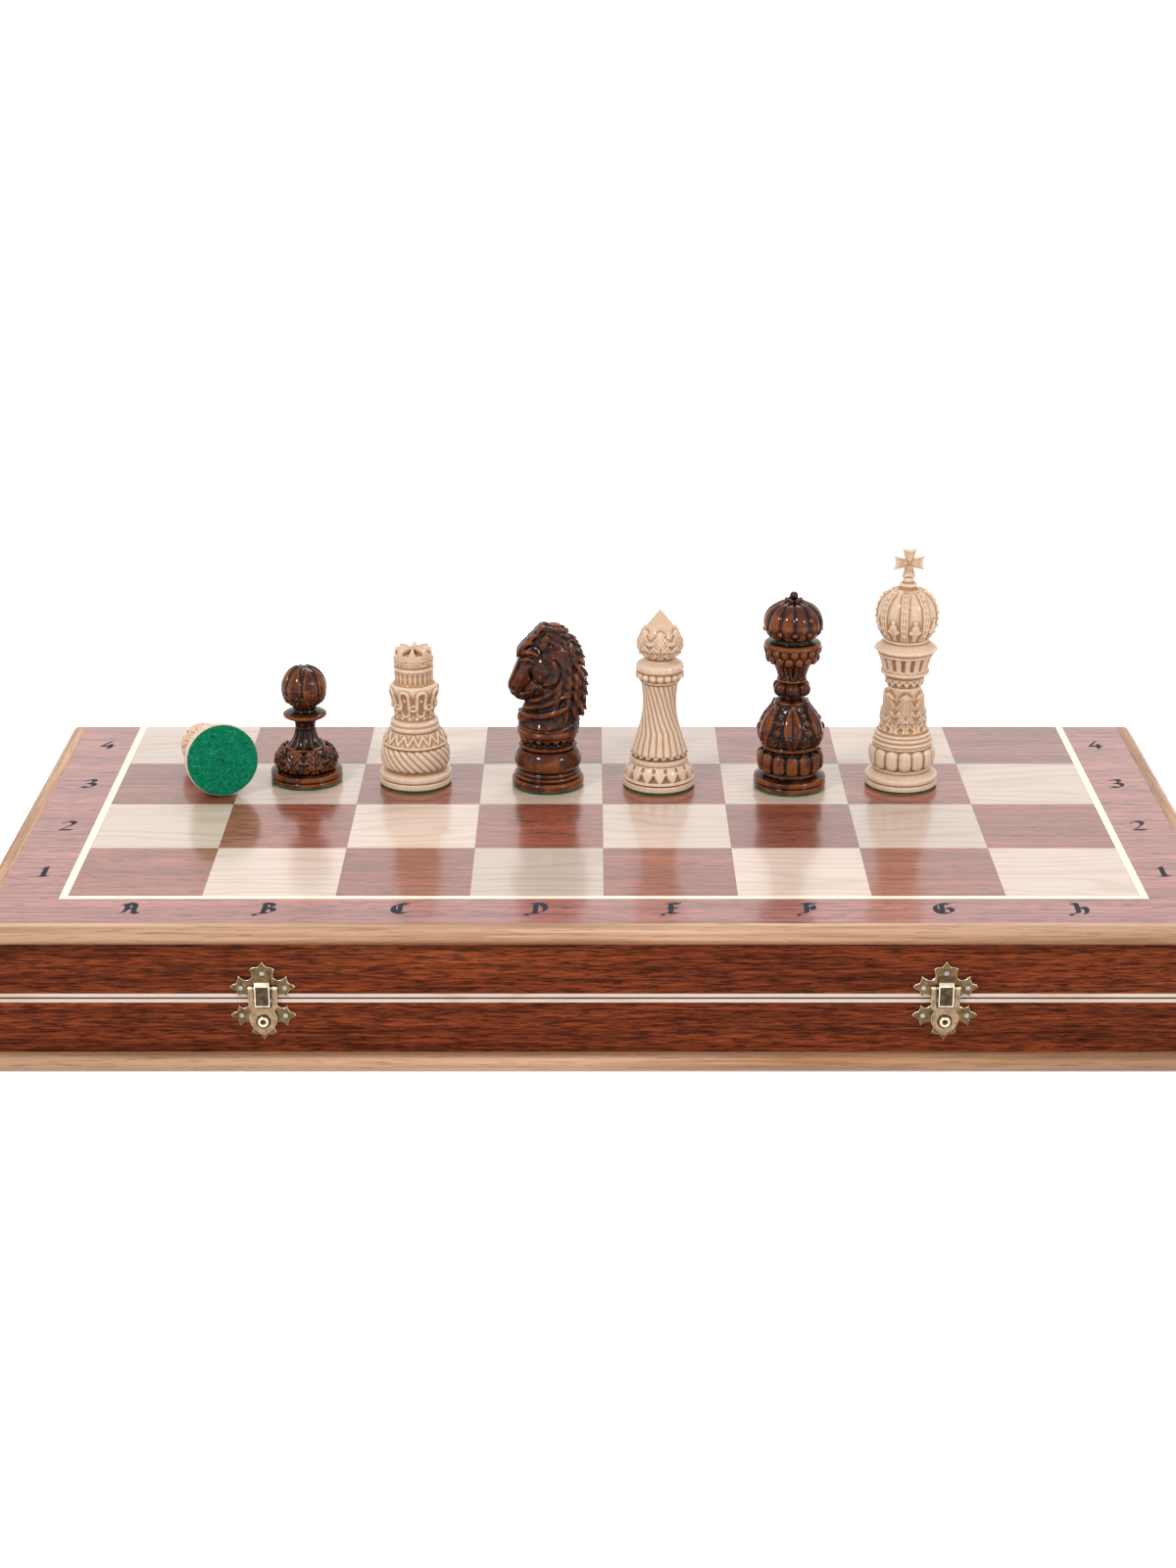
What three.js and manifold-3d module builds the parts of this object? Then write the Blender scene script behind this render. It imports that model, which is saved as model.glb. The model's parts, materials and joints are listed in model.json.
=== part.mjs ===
// Folding chess case with carved pieces, in millimetres, +Z up.
// Two equal half cases are hinged along their back edge. The playing fields are their outer faces, so the
// closed case shows half the board on top, and turning the lower half about the hinge by 180 degrees
// lays both fields side by side. The origin is the middle of the closed case's underside. +X runs along
// the files and -Y is the front, where the two hasp latches are.
import * as THREE from 'three';
import { mergeVertices } from 'three/addons/utils/BufferGeometryUtils.js';
import Module from 'manifold-3d';

const wasm = await Module();
wasm.setup();

// ---- Driving dimensions ----
const SQUARE = 58;
const FILES = 8;
const RANKS_PER_HALF = 4;
const BORDER = 30.75; // veneered border round the playing field
const LIP = 7.6; // solid oak edging outside the border
const CASE_Z = 66.4; // both halves, closed
const PANEL = 8; // playing panel
const WALL = 9;
const WALL_INSET = 4.5; // wall face behind the front of the oak edging
const RIM = 1.8; // maple strip on the walls' meeting edges
const LINING = 1.2;
const SEAM_GAP = 0.5;
const GLUE = 0.1; // gap between members glued together
const RUNNING = 0.3; // gap between members that move

// ---- Derived layout ----
const FIELD_X = FILES * SQUARE;
const FIELD_Y = RANKS_PER_HALF * SQUARE;
const CASE_X = FIELD_X + 2 * (BORDER + LIP);
const CASE_Y = FIELD_Y + BORDER + LIP;
const SEAM_Z = CASE_Z / 2;
const FOLD_Y = CASE_Y / 2; // hinge axis, at the height of the seam
const BACK_Y = FOLD_Y - RUNNING / 2;
const FRONT_Y = -CASE_Y / 2;
const FIELD_FRONT_Y = FOLD_Y - FIELD_Y;
const BORDER_X = FIELD_X / 2 + BORDER;
const BORDER_FRONT_Y = FIELD_FRONT_Y - BORDER;
const WALL_X = CASE_X / 2 - WALL_INSET;
const WALL_FRONT_Y = FRONT_Y + WALL_INSET;
const INNER_X = WALL_X - WALL;
const INNER_FRONT_Y = WALL_FRONT_Y + WALL;
const INNER_BACK_Y = BACK_Y - WALL;
const RIM_TOP = SEAM_Z - SEAM_GAP / 2;
const WALL_TOP = RIM_TOP - RIM - GLUE;

// ---- Hinges ----
const HINGE_X = 160;
const LEAF_LENGTH = 40;
const LEAF_DEPTH = 7;
const LEAF_THICKNESS = 1.5;
const KNUCKLE_R = 1.8;
const KNUCKLE_HOLE_R = 1.1;
const PIN_R = 0.8;
const KNUCKLES = 3;

// ---- Hasp latches ----
const LATCH_X = 2.5 * SQUARE;
const PLATE_THICKNESS = 0.7;
const PLATE_FRONT = PLATE_THICKNESS + 2 * GLUE; // depth in front of the wall
const LATCH_MIDDLE_Z = SEAM_Z - 1; // the two plates mirror each other about this height
const BAR_RISE = 6.6; // hasp bar above the latch's middle
const BAR_DEPTH = 2.1;
const BAR_R = 0.7;
const CURL_R = 1;
const HASP_THICKNESS = 0.8;
const HASP_HALF_WIDTH = 6.1;
const WINDOW_HALF_WIDTH = 3.85;
const TONGUE_HALF_WIDTH = 3.25;
const KNOB_R = 2.5;
const KNOB_DROP = -15.3; // knob's middle from the hasp bar

// ---- Chess pieces ----
const BASE_R = 17.25;
const STANDING_SIDES = 14;
const STORED_SIDES = 10;
const LANE_PITCH = 39.5;

const COLOURS = {
  sapele: { color: '#6b2e1b', roughness: 0.3, metalness: 0 },
  oak: { color: '#b98a55', roughness: 0.4, metalness: 0 },
  maple: { color: '#d9bd92', roughness: 0.45, metalness: 0 },
  felt: { color: '#1d6b3f', roughness: 0.95, metalness: 0 },
  brass: { color: '#8a6a3c', roughness: 0.4, metalness: 0.9 },
  steel: { color: '#a8a8a4', roughness: 0.35, metalness: 1 },
  dark: { color: '#3a1a10', roughness: 0.25, metalness: 0 },
  light: { color: '#e0c79c', roughness: 0.3, metalness: 0 },
};

const chessSet = new THREE.Group();

function addMesh(name, geometry, colour, parent = chessSet) {
  const mesh = new THREE.Mesh(geometry, new THREE.MeshStandardMaterial(COLOURS[colour]));
  mesh.name = name;
  parent.add(mesh);
  return mesh;
}

// ---- Solids ----
function toSolid(geometry) {
  const bare = geometry.clone();
  bare.deleteAttribute('normal');
  bare.deleteAttribute('uv');
  const merged = mergeVertices(bare, 1e-4);
  return new wasm.Manifold(new wasm.Mesh({
    numProp: 3,
    vertProperties: new Float32Array(merged.attributes.position.array),
    triVerts: new Uint32Array(merged.index.array),
  }));
}

function toGeometry(solid) {
  const { vertProperties, triVerts } = solid.getMesh();
  const geometry = new THREE.BufferGeometry();
  geometry.setAttribute('position', new THREE.BufferAttribute(vertProperties, 3));
  geometry.setIndex(new THREE.BufferAttribute(triVerts, 1));
  return geometry;
}

function join(...geometries) {
  return toGeometry(geometries.map(toSolid).reduce((whole, piece) => whole.add(piece)));
}

function cut(geometry, ...tools) {
  return toGeometry(tools.map(toSolid).reduce((whole, tool) => whole.subtract(tool), toSolid(geometry)));
}

function box(x0, x1, y0, y1, z0, z1) {
  const geometry = new THREE.BoxGeometry(x1 - x0, y1 - y0, z1 - z0);
  return geometry.translate((x0 + x1) / 2, (y0 + y1) / 2, (z0 + z1) / 2);
}

function outline(points) {
  return new THREE.Shape(points.map(([x, y]) => new THREE.Vector2(x, y)));
}

// A plan outline (X, Y) raised between two heights.
function raised(shape, z0, z1, curveSegments = 4) {
  const geometry = new THREE.ExtrudeGeometry(shape, { depth: z1 - z0, bevelEnabled: false, curveSegments });
  return geometry.translate(0, 0, z0);
}

// A front-view outline (X, Z) with its back at y and its thickness towards the front.
function fronted(shape, y, thickness, curveSegments = 2) {
  return raised(shape, 0, thickness, curveSegments).rotateX(Math.PI / 2).translate(0, y, 0);
}

// A side-view outline (Y, Z) spread between two X values.
function spread(shape, x0, x1) {
  const geometry = new THREE.ExtrudeGeometry(shape, { depth: x1 - x0, bevelEnabled: false });
  geometry.rotateY(Math.PI / 2).rotateX(Math.PI / 2);
  return geometry.translate(x0, 0, 0);
}

function rod(radius, x0, x1, y, z, sides = 12) {
  const geometry = new THREE.CylinderGeometry(radius, radius, x1 - x0, sides);
  return geometry.rotateZ(Math.PI / 2).translate((x0 + x1) / 2, y, z);
}

// ---- Half case, with its playing face at z = 0 and its open side up ----

// Oak edging round the front and the two sides: a bullnose section swept round two mitred corners.
function edging() {
  const noseR = PANEL / 2;
  const noseSteps = 6;
  const section = [[0, PANEL], [0, 0]];
  for (let i = 0; i <= noseSteps; i += 1) {
    const angle = -Math.PI / 2 + (Math.PI * i) / noseSteps;
    section.push([LIP - GLUE - noseR + noseR * Math.cos(angle), noseR + noseR * Math.sin(angle)]);
  }
  const innerX = BORDER_X + GLUE;
  const innerY = BORDER_FRONT_Y - GLUE;
  const stations = [
    (out) => [-innerX - out, BACK_Y],
    (out) => [-innerX - out, innerY - out],
    (out) => [innerX + out, innerY - out],
    (out) => [innerX + out, BACK_Y],
  ];
  const positions = stations.flatMap((station) => section.flatMap(([out, z]) => [...station(out), z]));
  const n = section.length;
  const faces = [];
  for (let s = 0; s + 1 < stations.length; s += 1) {
    for (let i = 0; i < n; i += 1) {
      const [a, b] = [s * n + i, s * n + ((i + 1) % n)];
      faces.push(a, a + n, b, b, a + n, b + n);
    }
  }
  const lastRing = (stations.length - 1) * n;
  for (let i = 1; i + 1 < n; i += 1) {
    faces.push(0, i, i + 1, lastRing, lastRing + i + 1, lastRing + i);
  }
  const geometry = new THREE.BufferGeometry();
  geometry.setAttribute('position', new THREE.Float32BufferAttribute(positions, 3));
  geometry.setIndex(faces);
  return geometry;
}

// The four walls, mitred at the corners. Each is an outer edge and the matching inner edge.
function walls() {
  const outer = [[-WALL_X, WALL_FRONT_Y], [WALL_X, WALL_FRONT_Y], [WALL_X, BACK_Y], [-WALL_X, BACK_Y]];
  const inner = [
    [-INNER_X, INNER_FRONT_Y], [INNER_X, INNER_FRONT_Y], [INNER_X, INNER_BACK_Y], [-INNER_X, INNER_BACK_Y],
  ];
  const names = ['front', 'right', 'back', 'left'];
  return names.map((name, i) => {
    const j = (i + 1) % names.length;
    const plan = shrunkAlong([outer[i], outer[j], inner[j], inner[i]]);
    return [name, raised(outline(plan), PANEL + GLUE, WALL_TOP)];
  });
}

// Shortens a wall's plan at both mitres by half the glue gap.
function shrunkAlong([a, b, c, d]) {
  const along = new THREE.Vector2(b[0] - a[0], b[1] - a[1]).normalize().multiplyScalar(GLUE);
  const shift = ([x, y], sign) => [x + sign * along.x, y + sign * along.y];
  return [shift(a, 1), shift(b, -1), shift(c, -1), shift(d, 1)];
}

function rim() {
  const ring = outline([
    [-WALL_X, WALL_FRONT_Y], [WALL_X, WALL_FRONT_Y], [WALL_X, BACK_Y], [-WALL_X, BACK_Y],
  ]);
  ring.holes.push(outline([
    [-INNER_X, INNER_FRONT_Y], [INNER_X, INNER_FRONT_Y], [INNER_X, INNER_BACK_Y], [-INNER_X, INNER_BACK_Y],
  ]));
  const notches = [-HINGE_X, HINGE_X].map((x) => {
    const halfLength = LEAF_LENGTH / 2 + RUNNING;
    return box(x - halfLength, x + halfLength, FOLD_Y - LEAF_DEPTH - RUNNING, FOLD_Y, WALL_TOP, SEAM_Z);
  });
  return cut(raised(ring, RIM_TOP - RIM, RIM_TOP), ...notches);
}

function halfCase(prefix, parent) {
  addMesh(`${prefix}_panel`, box(-BORDER_X, BORDER_X, BORDER_FRONT_Y, BACK_Y, 0, PANEL), 'sapele', parent);
  addMesh(`${prefix}_edging`, edging(), 'oak', parent);
  for (const [name, geometry] of walls()) {
    addMesh(`${prefix}_wall_${name}`, geometry, 'sapele', parent);
  }
  addMesh(`${prefix}_rim`, rim(), 'maple', parent);
  const lining = box(
    -INNER_X + GLUE, INNER_X - GLUE, INNER_FRONT_Y + GLUE, INNER_BACK_Y - GLUE,
    PANEL + GLUE, PANEL + GLUE + LINING,
  );
  addMesh(`${prefix}_lining`, lining, 'felt', parent);
}

halfCase('lower', chessSet);
const upperHalf = new THREE.Group();
upperHalf.position.z = CASE_Z;
upperHalf.rotation.y = Math.PI;
chessSet.add(upperHalf);
halfCase('upper', upperHalf);

// ---- Hinges: each leaf lies in the rim and carries every second knuckle ----
function leaf(x, side) {
  const first = side === 'upper' ? 0 : 1;
  const [z0, z1] = side === 'upper'
    ? [SEAM_Z + SEAM_GAP / 2, SEAM_Z + SEAM_GAP / 2 + LEAF_THICKNESS]
    : [RIM_TOP - LEAF_THICKNESS, RIM_TOP];
  const left = x - LEAF_LENGTH / 2;
  const plateBack = FOLD_Y - KNUCKLE_R - RUNNING;
  const parts = [box(left, left + LEAF_LENGTH, FOLD_Y - LEAF_DEPTH, plateBack, z0, z1)];
  const pitch = LEAF_LENGTH / KNUCKLES;
  for (let i = first; i < KNUCKLES; i += 2) {
    const [x0, x1] = [left + i * pitch + RUNNING / 2, left + (i + 1) * pitch - RUNNING / 2];
    parts.push(box(x0, x1, plateBack - 1, FOLD_Y, z0, z1));
    parts.push(rod(KNUCKLE_R, x0, x1, FOLD_Y, SEAM_Z, 16));
  }
  const hole = rod(KNUCKLE_HOLE_R, left - 1, left + LEAF_LENGTH + 1, FOLD_Y, SEAM_Z);
  return cut(join(...parts), hole);
}

for (const [name, x] of [['left', -HINGE_X], ['right', HINGE_X]]) {
  addMesh(`hinge_${name}_leaf_upper`, leaf(x, 'upper'), 'brass');
  addMesh(`hinge_${name}_leaf_lower`, leaf(x, 'lower'), 'brass');
  const pin = rod(PIN_R, x - LEAF_LENGTH / 2, x + LEAF_LENGTH / 2, FOLD_Y, SEAM_Z, 10);
  addMesh(`hinge_${name}_pin`, pin, 'brass');
}

// ---- Hasp latches ----

// A shape mirrored about the vertical: it follows the curves of the right half up from the start point
// and comes back down the left half. Each curve is a control point and an end point.
function mirrored(start, curves) {
  const shape = new THREE.Shape();
  shape.moveTo(...start);
  for (const curve of curves) {
    shape.quadraticCurveTo(...curve);
  }
  for (let i = curves.length - 1; i >= 0; i -= 1) {
    const [controlX, controlY] = curves[i];
    const [endX, endY] = i > 0 ? curves[i - 1].slice(2) : start;
    shape.quadraticCurveTo(-controlX, controlY, -endX, endY);
  }
  return shape;
}

// One half of the cross-shaped mount: a side arm and an end arm, each with two spurs and an ogee tip.
// Heights are measured away from the middle of the latch.
const PLATE_CURVES = [
  [3, 1.3, 5.4, 1.3],
  [8.2, 4.6, 10.3, 2],
  [10.6, 4.2, 11.4, 4.9],
  [12.9, 5, 13.9, 6.5],
  [12.9, 8, 11.4, 8.1],
  [10.6, 8.8, 10.2, 11.6],
  [7, 8.2, 4.6, 10.8],
  [4.2, 12.4, 5.3, 14.6],
  [3.8, 16, 2, 15.6],
  [1.2, 16.2, 0, 18.1],
];

function latchPlate() {
  return fronted(mirrored([0, 1.3], PLATE_CURVES), WALL_FRONT_Y - 2 * GLUE, PLATE_THICKNESS);
}

// The tongue is bent out of the upper plate, over the hasp's bar and down in front of it.
function tongue() {
  const front = BAR_DEPTH + BAR_R + 1.2;
  const back = front - PLATE_THICKNESS;
  const section = [[PLATE_FRONT, 11.6], [front, 8.8], [front, -1.3], [back, -1.3], [back, 8.4], [0.5, 10.6]];
  const side = outline(section.map(([depth, z]) => [WALL_FRONT_Y - depth, z]));
  return spread(side, -TONGUE_HALF_WIDTH, TONGUE_HALF_WIDTH);
}

// The hasp: two arms round a window, a waist and a pointed shield with a domed knob.
function hasp() {
  const side = HASP_HALF_WIDTH;
  const windowFloor = -9;
  const shield = new THREE.Shape();
  shield.moveTo(side, 0);
  shield.lineTo(WINDOW_HALF_WIDTH, 0);
  shield.lineTo(WINDOW_HALF_WIDTH, windowFloor);
  shield.lineTo(-WINDOW_HALF_WIDTH, windowFloor);
  shield.lineTo(-WINDOW_HALF_WIDTH, 0);
  shield.lineTo(-side, 0);
  shield.lineTo(-side, windowFloor - 0.2);
  shield.lineTo(-4.5, -11);
  shield.quadraticCurveTo(-6.5, -12.8, -5.6, -16.2);
  shield.quadraticCurveTo(-4.6, -19.4, 0, -22.1);
  shield.quadraticCurveTo(4.6, -19.4, 5.6, -16.2);
  shield.quadraticCurveTo(6.5, -12.8, 4.5, -11);
  shield.lineTo(side, windowFloor - 0.2);
  const sheet = fronted(shield, HASP_THICKNESS / 2, HASP_THICKNESS, 3);
  const bar = rod(BAR_R, -side + 1, side - 1, 0, 0, 8);
  const curls = [[-side, -WINDOW_HALF_WIDTH], [WINDOW_HALF_WIDTH, side]].map(([x0, x1]) => (
    rod(CURL_R, x0, x1, 0, 0, 8)
  ));
  const dome = [[0, 0], [KNOB_R, 0], [KNOB_R, 0.7], [KNOB_R * 0.8, 1.7], [KNOB_R * 0.4, 2.2], [0, 2.3]];
  const knob = turned(dome, 12).rotateX(Math.PI / 2).translate(0, 0, KNOB_DROP);
  return join(sheet, bar, ...curls, knob);
}

for (const [name, sign] of [['left', -1], ['right', 1]]) {
  const keeper = addMesh(`latch_${name}_keeper`, join(latchPlate(), tongue()), 'brass');
  keeper.position.set(sign * LATCH_X, 0, LATCH_MIDDLE_Z);
  const catchPlate = addMesh(`latch_${name}_catch`, latchPlate(), 'brass');
  catchPlate.position.set(sign * LATCH_X, 0, LATCH_MIDDLE_Z);
  catchPlate.rotation.y = Math.PI;
  const swinging = addMesh(`latch_${name}_hasp`, hasp(), 'brass');
  swinging.position.set(sign * LATCH_X, WALL_FRONT_Y - BAR_DEPTH, LATCH_MIDDLE_Z + BAR_RISE);
}

// ---- Chess pieces: turned profiles as [radius, height], from the rim of the base up to the axis ----
const PROFILES = {
  pawn: [
    [BASE_R, 0], [BASE_R, 5.8], [15, 7], [13.7, 12], [8.4, 19.8], [4.8, 28.4], [10.4, 32.8], [10.4, 35.2],
    [5.6, 37.2], [10.2, 43], [10.6, 49.5], [6.5, 55.5], [0, 57.7],
  ],
  rook: [
    [BASE_R, 0], [BASE_R, 7.4], [16.7, 15.9], [15.4, 21.6], [11.7, 27.5], [11.7, 32.4], [9.3, 37.8],
    [11.1, 49.7], [9.3, 51], [9.4, 62], [8.8, 68], [0, 68],
  ],
  knight: [
    [BASE_R, 0], [BASE_R, 4], [15.2, 7], [16, 13.7], [14.3, 20.4], [13, 25], [14.9, 27.2], [14.9, 29],
    [12, 31], [0, 31],
  ],
  bishop: [
    [BASE_R, 0], [BASE_R, 5], [14, 12.3], [13.4, 16.7], [10, 27.5], [7.9, 37.3], [9.2, 50.5], [11.4, 53.5],
    [11.5, 58.9], [6, 61.8], [9.8, 71], [8, 79], [2.5, 85], [0, 87.3],
  ],
  queen: [
    [BASE_R, 0], [BASE_R, 6.8], [16, 15.2], [13.5, 21], [15.2, 28.7], [7.4, 42.6], [12.9, 49], [6.2, 54],
    [9, 60.8], [13.5, 69], [13.5, 72], [14.5, 82.3], [11.5, 90], [4, 92.5], [0, 96.6],
  ],
  king: [
    [BASE_R, 0], [BASE_R, 5.8], [15.9, 16.4], [14.5, 23.5], [9.9, 30.7], [7.9, 45.7], [9.5, 52.5],
    [11.6, 57.3], [13.2, 65.9], [15.1, 68.5], [10.2, 72.5], [14.2, 86.8], [12, 93], [5, 97.7], [2, 101.5],
    [0, 101.5],
  ],
};
const HEIGHTS = { pawn: 57.7, rook: 68, knight: 80.5, bishop: 87.3, queen: 96.6, king: 116.6 };
const KING_COLLAR_Z = 101;

function cross() {
  const middle = 109.6;
  const top = HEIGHTS.king;
  const arm = 7.3;
  const flare = 3.4;
  const waist = 1.9;
  const shape = outline([
    [flare, KING_COLLAR_Z - 0.5], [waist, middle - waist], [arm, middle - flare], [arm, middle + flare],
    [waist, middle + waist], [flare, top], [-flare, top], [-waist, middle + waist], [-arm, middle + flare],
    [-arm, middle - flare], [-waist, middle - waist], [-flare, KING_COLLAR_Z - 0.5],
  ].reverse());
  return fronted(shape, 1.9, 3.8);
}

// The horse's bust faces -X: a side silhouette with bevelled edges.
function horse() {
  const silhouette = outline([
    [-13.5, 30], [-13.8, 35], [-9.8, 41.5], [-11.5, 43.5], [-16, 44.6], [-18, 48.5], [-15.5, 55.5],
    [-12.8, 63], [-10.5, 70], [-7, 76], [-1.6, HEIGHTS.knight], [3.5, 78], [10.5, 70.5], [14, 62], [17.2, 51],
    [17.5, 41], [15.5, 31], [12, 28.5], [-11, 28.5],
  ].reverse());
  const half = 6;
  const bevel = { bevelEnabled: true, bevelThickness: 3.5, bevelSize: 1, bevelSegments: 1, bevelOffset: -1 };
  const head = new THREE.ExtrudeGeometry(silhouette, { depth: 2 * half, curveSegments: 1, ...bevel });
  return head.rotateX(Math.PI / 2).translate(0, half, 0);
}

// A solid turned about the Z axis. The profile starts at the rim and ends on the axis.
function turned(profile, sides) {
  const points = [[0, profile[0][1]], ...profile].map(([r, z]) => new THREE.Vector2(r, z));
  return new THREE.LatheGeometry(points, sides).rotateX(Math.PI / 2);
}

function piece(kind, sides) {
  const body = turned(PROFILES[kind], sides);
  if (kind === 'knight') {
    return join(body, horse());
  }
  if (kind === 'king') {
    return join(body, cross());
  }
  return body;
}

// How a piece lies on a flat surface: it rests on the two rings of its profile that bridge the middle of
// its height with everything else above them. Gives the slope of its axis and the base centre's height.
function lying(kind) {
  const rings = PROFILES[kind];
  const middle = HEIGHTS[kind] * 0.35;
  for (const [r0, z0] of rings.filter(([, z]) => z < middle)) {
    for (const [r1, z1] of rings.filter(([, z]) => z >= middle)) {
      const slope = Math.atan2(r0 - r1, z1 - z0);
      const reach = ([r, z]) => r * Math.cos(slope) + z * Math.sin(slope);
      const height = reach([r0, z0]);
      if (rings.every((ring) => reach(ring) <= height + 1e-6)) {
        return { slope, height };
      }
    }
  }
  throw new Error(`${kind} has no resting line`);
}

// Lays a piece down with its head towards the heading, measured from +Y towards -X.
function layDown(mesh, kind, x, y, surfaceZ, heading) {
  const { slope, height } = lying(kind);
  mesh.rotation.set(-Math.PI / 2 - slope, 0, heading, 'ZYX');
  mesh.position.set(x, y, surfaceZ + RUNNING + height);
}

// Pieces on the board, as squares from its middle and from the front of the field.
const STANDING = [
  ['dark_pawn', 'pawn', -2.46, 2.6],
  ['light_rook', 'rook', -1.55, 2.555],
  ['dark_knight', 'knight', -0.45, 2.5],
  ['light_bishop', 'bishop', 0.47, 2.5],
  ['dark_queen', 'queen', 1.55, 2.455],
  ['light_king', 'king', 2.48, 2.52],
];
for (const [name, kind, file, rank] of STANDING) {
  const mesh = addMesh(name, piece(kind, STANDING_SIDES), name.split('_')[0]);
  mesh.position.set(file * SQUARE, FIELD_FRONT_Y + rank * SQUARE, CASE_Z + GLUE);
}
const fallen = addMesh('light_pawn', piece('pawn', STANDING_SIDES), 'light');
layDown(fallen, 'pawn', -3.1 * SQUARE, FIELD_FRONT_Y + 2.18 * SQUARE, CASE_Z, THREE.MathUtils.degToRad(19));

// The rest of the set lies in lanes on the lower lining, each lane filled from the front to the back.
const LANES = [
  ['light_pawn', 'light_pawn', 'light_pawn', 'light_pawn'],
  ['dark_pawn', 'dark_pawn', 'dark_pawn', 'dark_pawn'],
  ['light_pawn', 'light_bishop', 'light_pawn'],
  ['dark_pawn', 'dark_bishop', 'dark_pawn'],
  ['light_rook', 'dark_rook', 'dark_rook'],
  ['light_knight', 'light_pawn', 'light_knight'],
  ['dark_knight', 'dark_pawn', 'dark_bishop'],
  ['dark_king', 'light_queen'],
];
const stored = {};
const laneSpan = INNER_BACK_Y - INNER_FRONT_Y;
LANES.forEach((lane, laneIndex) => {
  const x = (laneIndex - (LANES.length - 1) / 2) * LANE_PITCH;
  const footprints = lane.map((name) => {
    const kind = name.split('_')[1];
    const { slope } = lying(kind);
    const behind = BASE_R * Math.abs(Math.sin(slope));
    return { name, kind, behind, length: HEIGHTS[kind] * Math.cos(slope) + behind };
  });
  const filled = footprints.reduce((sum, { length }) => sum + length, 0);
  const gap = (laneSpan - filled) / (lane.length + 1);
  let y = INNER_FRONT_Y + gap;
  for (const { name, kind, behind, length } of footprints) {
    stored[name] = (stored[name] ?? 0) + 1;
    const mesh = addMesh(`stored_${name}_${stored[name]}`, piece(kind, STORED_SIDES), name.split('_')[0]);
    layDown(mesh, kind, x, y + behind, PANEL + GLUE + LINING, 0);
    y += length + gap;
  }
});

export default chessSet;
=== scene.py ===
"""Folding chess case with carved pieces: surfaces, carved detail, light and camera."""

import json
import math

import bmesh
import bpy
import numpy as np
from mathutils import Matrix, Vector


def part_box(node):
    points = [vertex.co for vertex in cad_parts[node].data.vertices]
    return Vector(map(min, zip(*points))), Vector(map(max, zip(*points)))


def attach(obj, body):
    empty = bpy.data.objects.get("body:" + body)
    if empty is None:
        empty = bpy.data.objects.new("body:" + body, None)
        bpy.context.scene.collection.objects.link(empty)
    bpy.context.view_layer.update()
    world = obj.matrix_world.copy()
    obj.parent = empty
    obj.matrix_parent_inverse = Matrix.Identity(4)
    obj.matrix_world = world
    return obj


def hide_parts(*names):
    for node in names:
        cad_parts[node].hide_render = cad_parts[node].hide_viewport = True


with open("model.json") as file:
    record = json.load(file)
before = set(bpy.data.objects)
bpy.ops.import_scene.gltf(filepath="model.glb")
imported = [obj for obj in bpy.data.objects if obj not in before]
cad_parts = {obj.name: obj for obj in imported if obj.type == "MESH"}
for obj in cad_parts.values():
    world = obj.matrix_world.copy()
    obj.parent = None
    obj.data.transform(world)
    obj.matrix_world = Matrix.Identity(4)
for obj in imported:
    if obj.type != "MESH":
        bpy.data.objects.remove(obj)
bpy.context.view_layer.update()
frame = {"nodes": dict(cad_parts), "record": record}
nodes = frame["nodes"]
MM = 0.001

# ---- Layout read from the frame ----
panel_low, panel_high = (Vector(corner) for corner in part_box("upper_panel"))
wall_low = Vector(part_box("upper_wall_front")[0])
TOP_Z = panel_high.z
SEAM_Z = TOP_Z / 2
SQUARE = 58 * MM
FILES = 8
HALF_RANKS = 4
INLAY_WIDTH = 3.4 * MM
FIELD_X = FILES * SQUARE / 2
# each panel stops a little short of the fold line
FOLD_CLEARANCE = 0.15 * MM
FOLD_Y = panel_high.y + FOLD_CLEARANCE
FIELD_FRONT_Y = FOLD_Y - HALF_RANKS * SQUARE
WALL_FACE_Y = wall_low.y


def add_object(name, mesh, body, slot, *replaced, place=Matrix()):
    """A new object that rides a body, in place of the CAD nodes in `replaced`."""
    made = bpy.data.objects.new(name, mesh)
    made.matrix_world = place
    bpy.context.collection.objects.link(made)
    if replaced:
        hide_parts(*replaced)
    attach(made, body)


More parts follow.
